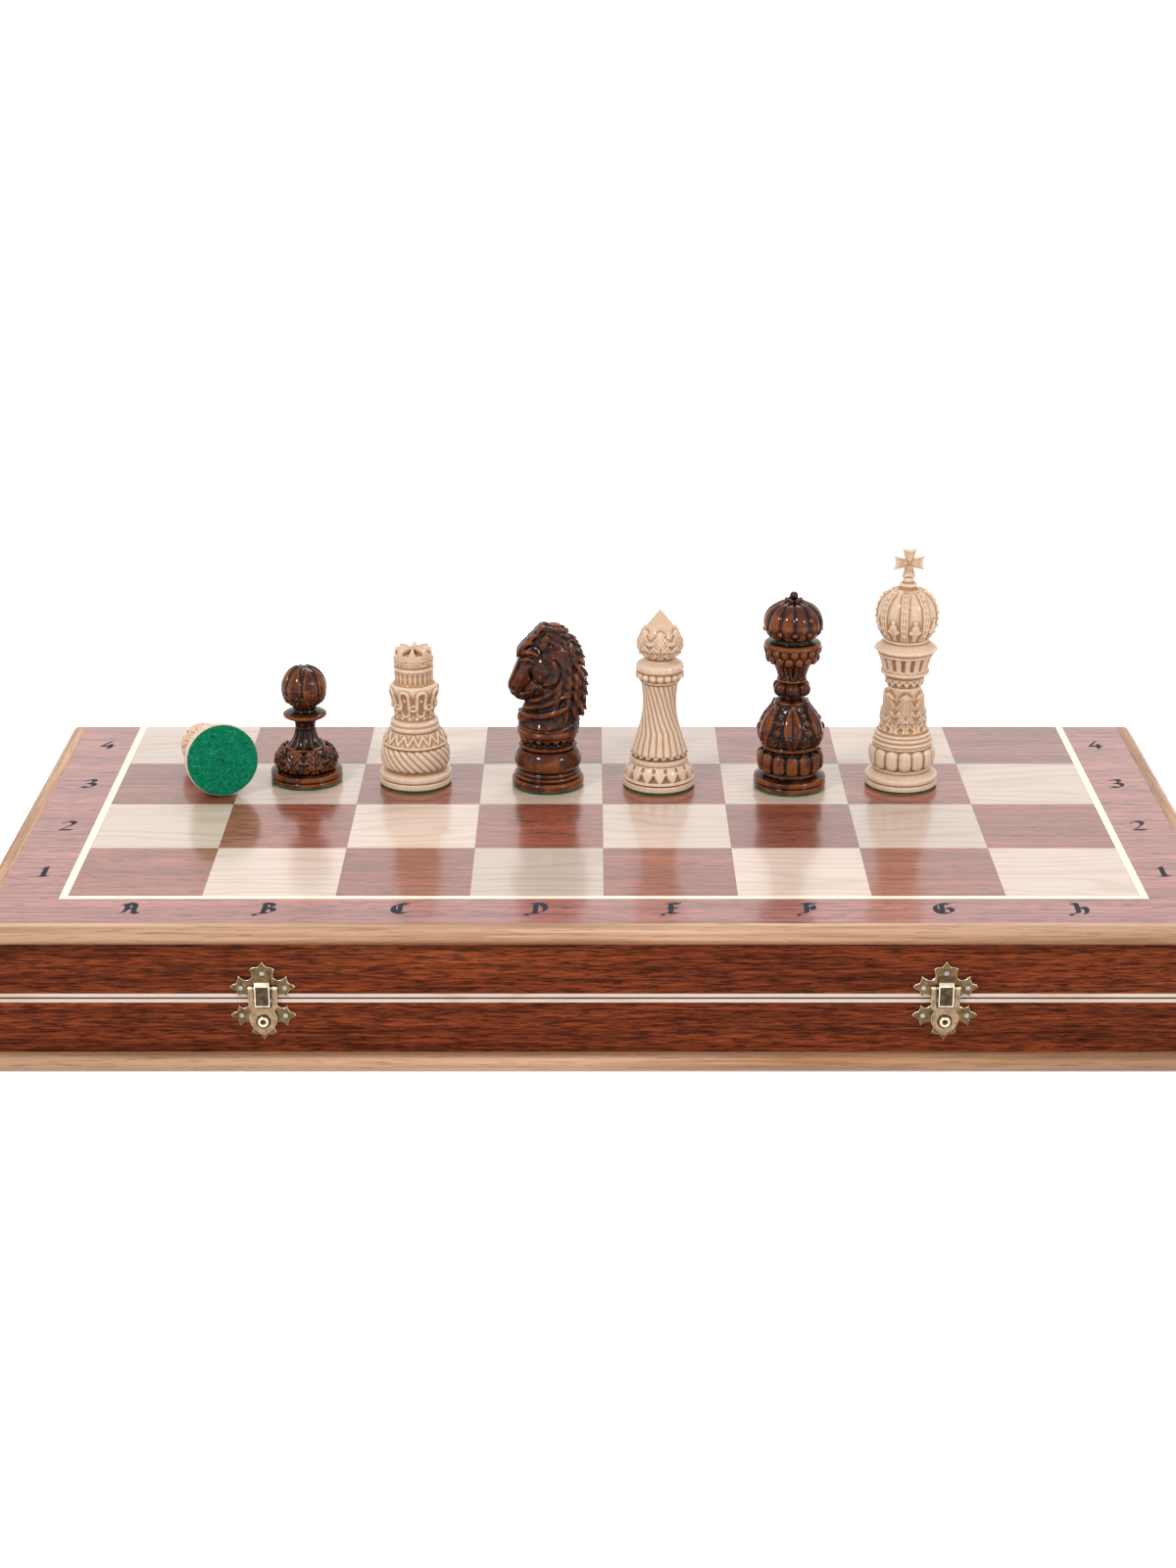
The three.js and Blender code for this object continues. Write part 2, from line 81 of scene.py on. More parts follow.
# ---- Node trees ----
class Tree:
    """One material's node tree, built from object coordinates in metres."""

    def __init__(self, name):
        self.material = bpy.data.materials.new(name)
        self.material.use_nodes = True
        self.tree = self.material.node_tree
        self.tree.nodes.clear()
        self.shader = self.tree.nodes.new("ShaderNodeBsdfPrincipled")
        output = self.tree.nodes.new("ShaderNodeOutputMaterial")
        self.tree.links.new(self.shader.outputs[0], output.inputs[0])

    def put(self, socket, value):
        if isinstance(value, bpy.types.NodeSocket):
            self.tree.links.new(value, socket)
        else:
            socket.default_value = value

    def node(self, kind, inputs=(), output=0, **settings):
        made = self.tree.nodes.new("ShaderNode" + kind)
        for key, value in settings.items():
            setattr(made, key, value)
        for key, value in dict(inputs).items():
            self.put(made.inputs[key], value)
        return made.outputs[output]

    def place(self):
        return self.node("TexCoord", output="Object")

    def scaled(self, vector, scale):
        return self.node("Mapping", {"Vector": vector, "Scale": scale})

    def split(self, vector):
        made = self.tree.nodes.new("ShaderNodeSeparateXYZ")
        self.put(made.inputs[0], vector)
        return made.outputs

    def joined(self, x, y, z):
        return self.node("CombineXYZ", {0: x, 1: y, 2: z})

    def math(self, operation, a, b=0.0, c=0.0):
        return self.node("Math", {0: a, 1: b, 2: c}, operation=operation)

    def noise(self, vector, scale, detail=4.0, roughness=0.55, distortion=0.0):
        inputs = {"Vector": vector, "Scale": scale, "Detail": detail, "Roughness": roughness,
                  "Distortion": distortion}
        return self.node("TexNoise", inputs)

    def grain(self, vector, along, fine, long, detail, roughness=0.55, distortion=0.0):
        """Noise stretched along the grain: `fine` per metre across it and `long` per metre along it."""
        scale = [fine, fine, fine]
        scale["XYZ".index(along)] = long
        return self.noise(self.scaled(vector, scale), 1.0, detail, roughness, distortion)

    def ramp(self, value, stops):
        made = self.tree.nodes.new("ShaderNodeValToRGB")
        elements = made.color_ramp.elements
        while len(elements) < len(stops):
            elements.new(0.5)
        for element, (position, colour) in zip(elements, stops):
            element.position = position
            element.color = (*colour, 1)
        self.put(made.inputs[0], value)
        return made.outputs[0]

    def level(self, value, low, high, to_low=0.0, to_high=1.0):
        inputs = {"Value": value, "From Min": low, "From Max": high, "To Min": to_low, "To Max": to_high}
        return self.node("MapRange", inputs)

    def mix(self, factor, a, b, blend="MIX"):
        made = self.tree.nodes.new("ShaderNodeMix")
        made.data_type = "RGBA"
        made.blend_type = blend
        self.put(made.inputs[0], factor)
        for socket, value in ((made.inputs[6], a), (made.inputs[7], b)):
            self.put(socket, (*value, 1) if isinstance(value, tuple) and len(value) == 3 else value)
        return made.outputs[2]

    def finish(self, colour, roughness, height=None, bump=0.0, distance=0.2 * MM, **constants):
        self.put(self.shader.inputs["Base Color"], colour)
        self.put(self.shader.inputs["Roughness"], roughness)
        for name, value in constants.items():
            self.shader.inputs[name.replace("_", " ")].default_value = value
        if height is not None:
            inputs = {"Height": height, "Strength": bump, "Distance": distance}
            self.put(self.shader.inputs["Normal"], self.node("Bump", inputs))
        return self.material


# ---- Woods of the case ----
WALL_TONES = [(0.3, (0.085, 0.016, 0.004)), (0.5, (0.145, 0.029, 0.008)), (0.72, (0.21, 0.052, 0.015))]
FACE_TONES = [(0.3, (0.19, 0.05, 0.028)), (0.5, (0.26, 0.07, 0.038)), (0.72, (0.33, 0.1, 0.056))]
BORDER_TONES = [(0.3, (0.27, 0.09, 0.07)), (0.5, (0.35, 0.115, 0.09)), (0.72, (0.42, 0.15, 0.12))]


def sapele_layers(tree, along, vector, tones):
    """Red-brown wood with soft bands, fine streaks and short dark pores. Returns its colour and its pore
    height."""
    bands = tree.grain(vector, along, 60, 3, 5, 0.6, 0.6)
    streaks = tree.grain(vector, along, 700, 16, 4, 0.6, 0.3)
    pores = tree.grain(vector, along, 1500, 110, 3, 0.55, 0.2)
    colour = tree.ramp(bands, tones)
    streak = tree.ramp(streaks, [(0.36, (0.58, 0.54, 0.5)), (0.52, (1, 1, 1)), (0.7, (1.3, 1.2, 1.12))])
    colour = tree.mix(1.0, colour, streak, "MULTIPLY")
    pore = tree.level(pores, 0.36, 0.47)
    colour = tree.mix(tree.level(pore, 0, 1, 0.8, 0), colour, (0.03, 0.008, 0.004))
    return colour, pore


def sapele(name, along):
    """The walls' open-grained red-brown wood, with dark and bright dashes along the grain."""
    tree = Tree(name)
    place = tree.place()
    colour, pore = sapele_layers(tree, along, place, WALL_TONES)
    dashes = tree.grain(place, along, 1250, 100, 3, 0.6, 0.4)
    dash = tree.ramp(dashes, [(0.38, (0.36, 0.32, 0.3)), (0.52, (1, 1, 1)), (0.68, (1.4, 1.35, 1.3))])
    colour = tree.mix(1.0, colour, dash, "MULTIPLY")
    return tree.finish(colour, tree.level(pore, 0, 1, 0.75, 0.55), pore, 0.3, Specular_IOR_Level=0.07)


def maple_layers(tree, along, vector):
    """Pale wood with faint wavy growth lines. Returns its colour and its fibres."""
    warp = tree.grain(vector, along, 26, 5, 2, 0.5, 0.0)
    across = tree.split(vector)["XYZ".index({"X": "Y", "Y": "X", "Z": "X"}[along])]
    lines = tree.math("SINE", tree.math("MULTIPLY_ADD", warp, 60.0, tree.math("MULTIPLY", across, 700.0)))
    fibres = tree.grain(vector, along, 1100, 30, 3, 0.6)
    colour = tree.ramp(tree.level(lines, -1, 1), [(0.0, (0.51, 0.385, 0.3)), (0.3, (0.555, 0.44, 0.365)),
                                                 (1.0, (0.565, 0.455, 0.38))])
    fibre = tree.ramp(fibres, [(0.35, (0.93, 0.9, 0.86)), (0.6, (1, 1, 1))])
    return tree.mix(1.0, colour, fibre, "MULTIPLY"), fibres


def maple(name, along):
    """Maple strip, with painted shade: dark brown along the edge where the two halves meet, as if the gap
    between them were in shadow.
    """
    tree = Tree(name)
    place = tree.place()
    colour, fibres = maple_layers(tree, along, place)
    # painted shade: within half a millimetre of the seam the maple turns dark brown
    from_seam = tree.math("ABSOLUTE", tree.math("SUBTRACT", tree.split(place)[2], SEAM_Z))
    colour = tree.mix(tree.level(from_seam, 0.3 * MM, 0.5 * MM, 0.85, 0), colour, (0.04, 0.018, 0.01))
    return tree.finish(colour, 0.42, fibres, 0.05, Specular_IOR_Level=0.3)


def oak(name, along):
    """Tan open-pored wood with long flame figure and dark pore dashes."""
    tree = Tree(name)
    vector = tree.place()
    warp = tree.grain(vector, along, 50, 4, 3, 0.55, 0.5)
    figure = tree.grain(vector, along, 210, 5, 4, 0.6, 0.8)
    pores = tree.grain(vector, along, 1500, 55, 3, 0.6)
    colour = tree.ramp(tree.math("ADD", tree.math("MULTIPLY", warp, 0.4), tree.math("MULTIPLY", figure, 0.6)),
                       [(0.38, (0.29, 0.14, 0.065)), (0.48, (0.44, 0.24, 0.13)), (0.62, (0.57, 0.35, 0.21))])
    pore = tree.level(pores, 0.36, 0.45)
    colour = tree.mix(tree.level(pore, 0, 1, 0.55, 0), colour, (0.2, 0.09, 0.035))
    return tree.finish(colour, tree.level(pore, 0, 1, 0.6, 0.36), pore, 0.3)


def veneered_squares(tree, place, across, up):
    """Squares in both woods, each cut from its own place in the sheet, with a thin glue line between them.
    `across` and `up` count squares from the field's corner. Returns the colour, the pore height and 1 on
    the light squares."""
    file, rank = tree.math("FLOOR", across), tree.math("FLOOR", up)
    chance = tree.node("TexWhiteNoise", {"Vector": tree.joined(file, rank, 0.0)}, output="Color")
    shuffled = tree.node("VectorMath", {0: place, 1: chance}, operation="ADD")
    dark_colour, pore = sapele_layers(tree, "X", shuffled, FACE_TONES)
    light_colour = maple_layers(tree, "X", shuffled)[0]
    tint = tree.level(tree.split(chance)[2], 0, 1, 0.86, 1.14)
    tinted = [tree.mix(1.0, colour, tree.joined(tint, tint, tint), "MULTIPLY")
              for colour in (dark_colour, light_colour)]
    # the even number keeps the sum above zero outside the field
    odd = tree.math("MODULO", tree.math("ADD", tree.math("ADD", file, rank), 40.0), 2.0)
    squares = tree.mix(odd, *tinted)
    from_middle = [tree.math("ABSOLUTE", tree.math("SUBTRACT", tree.math("FRACT", part), 0.5))
                   for part in (across, up)]
    line = tree.level(tree.math("MAXIMUM", *from_middle), 0.4965, 0.4985)
    return tree.mix(tree.math("MULTIPLY", line, 0.55), squares, (0.12, 0.045, 0.025)), pore, odd


def playing_face(name, mirrored):
    """The squares, a pale inlay line round the field and a dark border, under a clear gloss. The lower
    half's field continues the upper's once the board is open."""
    tree = Tree(name)
    place = tree.place()
    x, y, _ = tree.split(place)
    if mirrored:
        y = tree.math("SUBTRACT", 2 * FOLD_Y, y)
    across = tree.math("DIVIDE", tree.math("ADD", x, FIELD_X), SQUARE)
    up = tree.math("DIVIDE", tree.math("SUBTRACT", y, FIELD_FRONT_Y), SQUARE)
    squares, pore, odd = veneered_squares(tree, place, across, up)
    border_colour = sapele_layers(tree, "X", place, BORDER_TONES)[0]
    out_x = tree.math("SUBTRACT", tree.math("ABSOLUTE", x), FIELD_X)
    out_y = tree.math("SUBTRACT", FIELD_FRONT_Y, y)
    outside = tree.math("MAXIMUM", out_x, out_y)
    in_border = tree.math("GREATER_THAN", outside, INLAY_WIDTH)
    in_inlay = tree.math("GREATER_THAN", outside, 0.0)
    colour = tree.mix(in_inlay, squares, (0.86, 0.74, 0.56))
    colour = tree.mix(in_border, colour, border_colour)
    is_dark = tree.math("MAXIMUM", in_border, tree.math("SUBTRACT", 1.0, odd))
    height = tree.math("MAXIMUM", pore, tree.math("SUBTRACT", 1.0, is_dark))
    ripple = tree.noise(tree.scaled(place, (9, 22, 9)), 1.0, 2, 0.4)
    height = tree.math("MULTIPLY_ADD", ripple, 0.8, tree.math("MULTIPLY", height, 0.3))
    return tree.finish(colour, 0.3, height, 0.1, Coat_Weight=0.9, Coat_Roughness=0.13)


def felt(name):
    """Green felt: fibres matted into small clumps."""
    tree = Tree(name)
    place = tree.place()
    clumps = tree.noise(place, 650, 5, 0.75, 1.6)
    fibres = tree.noise(place, 2600, 4, 0.7, 2.5)
    blend = tree.math("MULTIPLY_ADD", fibres, 0.5, tree.math("MULTIPLY", clumps, 0.5))
    colour = tree.ramp(blend, [(0.4, (0.0, 0.05, 0.022)), (0.48, (0.0, 0.16, 0.07)),
                               (0.55, (0.004, 0.26, 0.13)), (0.64, (0.1, 0.5, 0.3))])
    return tree.finish(colour, 0.95, blend, 1.0, 0.8 * MM, Specular_IOR_Level=0.1)


DARK_BRASS = [(0.32, (0.04, 0.028, 0.016)), (0.5, (0.075, 0.052, 0.032)), (0.7, (0.14, 0.1, 0.065))]
AGED_BRASS = [(0.32, (0.09, 0.056, 0.024)), (0.5, (0.145, 0.093, 0.043)), (0.7, (0.23, 0.155, 0.08))]
LIGHT_BRASS = [(0.32, (0.2, 0.13, 0.075)), (0.5, (0.3, 0.205, 0.125)), (0.7, (0.42, 0.3, 0.2))]
WORN_BRASS = [(0.35, (0.7, 0.58, 0.4)), (0.65, (0.95, 0.86, 0.68))]


def brass(name, tones):
    """Clouded brass with fine scratches."""
    tree = Tree(name)
    place = tree.place()
    cloud = tree.noise(place, 420, 5, 0.6, 0.4)
    scratches = tree.noise(tree.scaled(place, (6000, 900, 900)), 1.0, 2, 0.5)
    colour = tree.ramp(cloud, tones)
    gloss = tree.level(cloud, 0.3, 0.7, 0.42, 0.26)
    return tree.finish(colour, gloss, scratches, 0.06, Metallic=1.0)


def steel(name):
    """Dull grey steel for nails, screws and hinge pins."""
    tree = Tree(name)
    cloud = tree.noise(tree.place(), 1500, 4, 0.6)
    colour = tree.ramp(cloud, [(0.35, (0.24, 0.24, 0.23)), (0.65, (0.48, 0.48, 0.46))])
    return tree.finish(colour, tree.level(cloud, 0.3, 0.7, 0.4, 0.22), cloud, 0.1, Metallic=1.0)


def set_material(obj, material):
    obj.data.materials.clear()
    obj.data.materials.append(material)


SAPELE_X = sapele("sapele along X", "X")
SAPELE_Y = sapele("sapele along Y", "Y")
OAK_X = oak("oak along X", "X")
OAK_Y = oak("oak along Y", "Y")
MAPLE_X = maple("maple along X", "X")
FELT = felt("green felt")
BRASS_DARK = brass("shaded brass", DARK_BRASS)
BRASS = brass("aged brass", AGED_BRASS)
BRASS_LIGHT = brass("rubbed brass", LIGHT_BRASS)
BRASS_WORN = brass("worn brass edge", WORN_BRASS)
STEEL = steel("steel")


def dress_case():
    for half in ("upper", "lower"):
        set_material(nodes[f"{half}_panel"], playing_face(f"{half} playing face", half == "lower"))
        for side in ("front", "back"):
            set_material(nodes[f"{half}_wall_{side}"], SAPELE_X)
        for side in ("left", "right"):
            set_material(nodes[f"{half}_wall_{side}"], SAPELE_Y)
        set_material(nodes[f"{half}_rim"], MAPLE_X)
        set_material(nodes[f"{half}_lining"], FELT)
        set_material(nodes[f"{half}_edging"], OAK_X)
    for name, node in nodes.items():
        if name.startswith("hinge") or name.startswith("latch"):
            set_material(node, STEEL if name.endswith("pin") else BRASS)


dress_case()


# ---- Carved pieces: a turned profile in millimetres, with relief cut into its surface ----
BASE_R = 17.25
FELT_THICKNESS = 0.8


def arc(middle_r, middle_z, reach_r, reach_z, start, end, steps=14):
    """Points of an elliptical arc, with angles in degrees from the horizontal."""
    angles = np.radians(np.linspace(start, end, steps))
    return [(middle_r + reach_r * math.cos(a), middle_z + reach_z * math.sin(a)) for a in angles]


def sample(profile, step):
    """Radius and height along a profile. Two numbers are a straight stretch's end, and four are the
    control point and the end of a curved one."""
    points = [np.array(profile[0], float)]
    for entry in profile[1:]:
        start, end = points[-1], np.array(entry[-2:], float)
        if len(entry) == 4:
            control = np.array(entry[:2], float)
            length = np.linalg.norm(control - start) + np.linalg.norm(end - control)
        else:
            control = (start + end) / 2
            length = np.linalg.norm(end - start)
        count = max(1, round(length / step))
        for i in range(1, count + 1):
            t = i / count
            points.append((1 - t) ** 2 * start + 2 * t * (1 - t) * control + t * t * end)
    return np.array(points)


def smooth(value, low=0.0, high=1.0):
    t = np.clip((value - low) / (high - low), 0, 1)
    return t * t * (3 - 2 * t)


def band(z, low, high, soft=0.5):
    """1 between two heights and 0 outside them."""
    return smooth(z, low - soft / 2, low + soft / 2) * (1 - smooth(z, high - soft / 2, high + soft / 2))


def sector(phi, count, phase=0.0):
    """Position across each of `count` equal sectors, from -1 to 1, with phase in sectors."""
    turns = phi * count / (2 * math.pi) - phase
    return 2 * (turns - np.floor(turns)) - 1


def gadroons(low, high, count, depth, twist=0.0, twist_from=0.0, cap=3.0):
    """Plump round-ended lobes with sharp valleys between them. They turn by `twist` radians per
    millimetre above `twist_from`."""
    def relief(r, z, phi):
        v = sector(phi + twist * np.maximum(z - twist_from, 0), count)
        beyond = np.maximum(np.maximum(low + cap - z, z - high + cap), 0) / cap
        lobe = np.sqrt(np.clip(1 - v ** 2 - beyond ** 2, 0, 1))
        return depth * (lobe - 1) * band(z, low, high, 0.6)
    return relief


def flutes(low, high, count, depth):
    """Hollow upright grooves with sharp ridges."""
    def relief(r, z, phi):
        v = sector(phi, count)
        hollow = np.cos(v * math.pi / 2).clip(0) ** 0.8
        return -depth * hollow * band(z, low, high, 1.0)
    return relief


def leaves(low, high, count, depth, phase=0.0, lobes=4, notch=0.22, belly=0.35, width=0.95, veins=0.3,
           proud=0.0):
    """A row of pointed leaves with scalloped edges, a midrib and side veins. `proud` lifts the tips."""
    def relief(r, z, phi):
        u = np.clip((z - low) / (high - low), 0, 1) + 0 * phi
        v = sector(phi, count, phase) + 0 * z
        across = np.abs(v)
        shape = np.sin(math.pi * u ** (math.log(0.5) / math.log(belly + 0.15))).clip(0) ** 0.6
        foot = (1 - u) ** 3 * 0.45
        scallop = 1 + notch * np.sin(2 * math.pi * lobes * (u + 0.25 * across))
        half = np.maximum(width * np.maximum(shape, foot) * scallop, 1e-3)
        inside = smooth(half - across, -0.02, 0.1) * band(z, low, high, 0.6)
        crown = 0.55 + 0.45 * np.sqrt(np.clip(1 - (across / half) ** 2, 0, 1))
        rib = -0.5 * np.exp(-((v / 0.07) ** 2)) * (1 - u)
        side = veins * np.cos(2 * math.pi * 1.5 * lobes * (u - 0.55 * across))
        return inside * (depth * (crown + rib + side * smooth(across, 0.05, 0.3)) + proud * u ** 3)
    return relief


def pearls(height, count, size, rise, phase=0.0):
    """A ring of half-round beads."""
    def relief(r, z, phi):
        x = sector(phi, count, phase) * math.pi / count * r
        reach = (x / size) ** 2 + ((z - height) / size) ** 2
        return rise * np.sqrt(np.clip(1 - reach, 0, 1))
    return relief


def zigzag(low, high, count, depth):
    """A raised zigzag band."""
    width = 0.28

    def relief(r, z, phi):
        u = (z - low) / (high - low)
        line = 1 - np.abs(sector(phi, count))
        return depth * smooth(width - np.abs(u - line), 0, 0.12) * band(z, low - 0.3, high + 0.3)
    return relief


def teeth(low, high, count, depth, reach):
    """Triangular pockets pointing up."""
    def relief(r, z, phi):
        u = (z - low) / (high - low)
        half = reach * (1 - u)
        pocket = smooth(half - np.abs(sector(phi, count)), 0, 0.2) * band(z, low, high, 0.4)
        return -depth * pocket
    return relief


def arcade(low, high, count, depth, fill=0.82, phase=0.0):
    """Pointed-arch openings between slender posts."""
    def relief(r, z, phi):
        u = np.clip((z - low) / (high - low), 0, 1)
        half = fill * np.sqrt(np.clip(1 - u ** 2.2, 0, 1))
        return -depth * smooth(half - np.abs(sector(phi, count, phase)), 0, 0.18) * band(z, low, high, 0.4)
    return relief


def slots(low, high, count, depth, fill):
    """Square-ended slots."""
    def relief(r, z, phi):
        opening = smooth(fill - np.abs(sector(phi, count)), -0.06, 0.06)
        return -depth * opening * band(z, low, high, 0.35)
    return relief


def cord(low, high, count, width, rise, phase=0.0):
    """A round cord that hangs in U-shaped loops: half circles joined by upright stretches."""
    def relief(r, z, phi):
        loop = 2 * math.pi * r / count
        x = np.abs(sector(phi, count, phase)) * loop / 2
        bend_r = loop / 4
        over = np.hypot(x, z - high + bend_r) - bend_r
        under = np.hypot(loop / 2 - x, z - low - bend_r) - bend_r
        away = np.where(z > high - bend_r, over, np.where(z < low + bend_r, under, x - bend_r))
        return rise * np.sqrt(np.clip(1 - (away / width) ** 2, 0, 1))
    return relief


def ribs(low, high, count, width, rise, phase=0.0, edged=False):
    """Raised vertical straps, with a rolled edge on each side if `edged`."""
    def relief(r, z, phi):
        x = np.abs(sector(phi, count, phase)) * math.pi / count * r
        strap = smooth(width - x, -0.15, 0.25)
        if edged:
            strap = strap * (0.55 + 0.45 * smooth(np.abs(x - width * 0.35), 0.1, 0.55))
        return rise * strap * band(z, low, high, 0.6)
    return relief


def scrolls(height, count, size, rise, phase=0.0):
    """Rolled volutes: two rings one inside the other."""
    def relief(r, z, phi):
        x = sector(phi, count, phase) * math.pi / count * r
        reach = np.hypot(x, z - height) / size
        ring = np.exp(-(((reach - 0.85) / 0.14) ** 2)) + np.exp(-(((reach - 0.35) / 0.16) ** 2))
        return rise * ring
    return relief


def speckle(low, high, size, rise, seed):
    """Stippled ground: random lumps on a grid."""
    def relief(r, z, phi):
        rows, columns = 64, 48
        chance = np.random.default_rng(seed).random((rows, columns))
        up = (z - low) / size
        round_about = phi * columns / (2 * math.pi)
        row = np.clip(up.astype(int), 0, rows - 1) + 0 * phi.astype(int)
        column = round_about.astype(int) % columns + 0 * z.astype(int)
        lump = np.sin(math.pi * (up % 1)) * np.sin(math.pi * (round_about % 1))
        return rise * chance[row, column] * np.abs(lump) * band(z, low, high)
    return relief


class Carving:
    """Collects the surfaces of one piece. `raised` is how far each point stands above its surroundings."""

    def __init__(self):
        self.points, self.quads, self.triangles, self.raised = [], [], [], []
        self.count = 0

    def add(self, points, quads, triangles, raised):
        self.points.append(points)
        self.quads.append(np.asarray(quads, int).reshape(-1, 4) + self.count)
        self.triangles.append(np.asarray(triangles, int).reshape(-1, 3) + self.count)
        self.raised.append(raised)
        self.count += len(points)

    def add_grid(self, grid, raised):
        """A surface of rings closed round the second index, with a point at each end."""
        rows, columns = grid.shape[:2]
        index = np.arange(rows * columns).reshape(rows, columns)
        beside = np.roll(index, -1, axis=1)
        quads = np.stack([index[:-1], beside[:-1], beside[1:], index[1:]], axis=-1).reshape(-1, 4)
        low, high = rows * columns, rows * columns + 1
        fans = [np.stack([np.full(columns, low), beside[0], index[0]], axis=-1),
                np.stack([np.full(columns, high), index[-1], beside[-1]], axis=-1)]
        ends = np.array([grid[0].mean(axis=0), grid[-1].mean(axis=0)])
        points = np.vstack([grid.reshape(-1, 3), ends])
        levels = np.append(raised.ravel(), [raised[0].mean(), raised[-1].mean()])
        self.add(points, quads, np.vstack(fans), levels)

    def turned(self, profile, reliefs, columns, step, ceiling=None):
        """Turns a profile about the vertical and carves it. `ceiling` cuts it down to a height."""
        path = sample(profile, step)
        r, z = path[:, :1], path[:, 1:]
        along = np.gradient(path, axis=0)
        normal = np.stack([along[:, 1], -along[:, 0]], axis=1)
        normal /= np.maximum(np.linalg.norm(normal, axis=1, keepdims=True), 1e-9)
        phi = np.linspace(0, 2 * math.pi, columns, endpoint=False)[None, :]
        depth = sum((relief(r, z, phi) for relief in reliefs), np.zeros((len(path), columns)))
        radius = np.maximum(r + depth * normal[:, :1], 0)
        height = z + depth * normal[:, 1:]
        if ceiling:
            over = height - ceiling(radius, phi)
            height = height - 0.97 * np.maximum(over, 0)
        grid = np.stack([radius * np.cos(phi), radius * np.sin(phi), height], axis=-1)
        facing = np.stack([normal[:, :1] * np.cos(phi), normal[:, :1] * np.sin(phi),
                           normal[:, 1:] + 0 * phi], axis=-1)
        self.add_grid(grid, raised_above(grid, facing))

    def ball(self, middle, radii):
        """An ellipsoid that counts as raised, most of all on its top, so the carved wood paints a highlight
        on its top and shade on its underside.
        """
        rows, columns = 10, 20
        tilt = np.linspace(-math.pi / 2, math.pi / 2, rows + 2)[1:-1, None]
        phi = np.linspace(0, 2 * math.pi, columns, endpoint=False)[None, :]
        unit = np.stack([np.cos(tilt) * np.cos(phi), np.cos(tilt) * np.sin(phi),
                         np.sin(tilt) + 0 * phi], axis=-1)
        grid = np.asarray(middle) + unit * np.asarray(radii)
        # painted light: the level rises from underneath to the top, paler on top and darker below
        self.add_grid(grid, 0.62 + 0.15 * unit[..., 2])

    def rod(self, path, sizes, columns=12):
        """A round rod along a path of points. The sizes are radii at even steps along it."""
        path = np.array(path, float)
        if len(path) == 2:
            path = np.linspace(path[0], path[1], 6)
        share = np.linspace(0, 1, len(path))
        radii = np.interp(share, np.linspace(0, 1, len(sizes)), sizes)
        along = np.gradient(path, axis=0)
        along /= np.linalg.norm(along, axis=1, keepdims=True)
        cap = np.radians([15, 40, 65])
        ahead = [(path[-1] + along[-1] * radii[-1] * math.sin(a), along[-1], radii[-1] * math.cos(a))
                 for a in cap]
        behind = [(path[0] - along[0] * radii[0] * math.sin(a), along[0], radii[0] * math.cos(a))
                  for a in cap]
        rings = behind[::-1] + list(zip(path, along, radii)) + ahead
        turn = np.linspace(0, 2 * math.pi, columns, endpoint=False)[:, None]
        grid = []
        for middle, way, radius in rings:
            side = np.cross(way, (0.13, 1.0, 0.07))
            side /= np.linalg.norm(side)
            grid.append(middle + radius * (np.cos(turn) * side + np.sin(turn) * np.cross(way, side)))
        self.add_grid(np.array(grid), np.full((len(grid), columns), 0.6))

    def mesh(self, name, unit=MM):
        mesh = bpy.data.meshes.new(name)
        points = np.vstack(self.points) * unit
        faces = [*np.vstack(self.quads).tolist(), *np.vstack(self.triangles).tolist()]
        mesh.from_pydata(points, [], faces)
        mesh.polygons.foreach_set("use_smooth", np.ones(len(mesh.polygons), bool))
        level = mesh.attributes.new("raised", "FLOAT", "POINT")
        level.data.foreach_set("value", np.concatenate(self.raised).astype(np.float32))
        mesh.update()
        return mesh


def blurred(grid, reach):
    """Mean over a window of rows and columns, where the columns close into a ring."""
    kernel = 2 * reach + 1
    wide = sum(np.roll(grid, shift, axis=1) for shift in range(-reach, reach + 1)) / kernel
    padded = np.concatenate([wide[:1]] * reach + [wide] + [wide[-1:]] * reach, axis=0)
    return sum(padded[i:i + len(grid)] for i in range(kernel)) / kernel


def raised_above(grid, facing):
    """0 in the cuts, 0.5 on the level and 1 on the high points, judged at two scales."""
    rise = sum(np.einsum("ijk,ijk->ij", grid - blurred(grid, reach), facing) * gain
               for reach, gain in ((2, 3.2), (6, 1.1)))
    return np.clip(0.5 + rise, 0, 1)


def foot(top, groove=3.3, shelf_r=14.0, shelf_z=7.0):
    """The two base rings that every piece stands on."""
    return [(0, FELT_THICKNESS), (16.9, FELT_THICKNESS), (BASE_R, FELT_THICKNESS + 0.3),
            (BASE_R, groove - 0.5), (16.9, groove - 0.1), (16.5, groove), (16.5, groove + 0.4),
            (16.9, groove + 0.5), (BASE_R, groove + 0.9), (BASE_R, top - 0.5), (17.0, top),
            (shelf_r, shelf_z)]


def pawn():
    profile = [
        *foot(5.8, 3.2, 13.3, 6.7), (12.7, 7.1), (14.7, 8.0, 13.9, 11.6), (13.0, 15.8, 9.6, 16.9),
        (9.6, 17.6), (8.9, 18.0), (5.4, 21.0, 4.8, 26.6), (4.7, 30.2, 6.2, 31.4), (9.6, 32.0, 10.5, 33.3),
        (10.5, 33.9), (9.6, 35.1, 6.0, 35.5), (5.6, 36.4), (5.9, 38.1), *arc(0, 47, 10.5, 10.5, -56, 90, 40),
    ]
    reliefs = [
        leaves(7.4, 17.2, 8, 1.0, lobes=3, notch=0.25, belly=0.5, proud=0.7),
        leaves(7.4, 13.5, 8, 0.6, phase=0.5, lobes=2, notch=0.2),
        flutes(18.2, 26.5, 12, 0.65),
        leaves(39.0, 57.2, 8, 0.55, lobes=1, notch=0.0, belly=0.36, width=0.93, veins=0.0),
        leaves(38.4, 44.5, 8, 0.45, phase=0.5, lobes=2, notch=0.2, width=0.85),
    ]
    return profile, reliefs


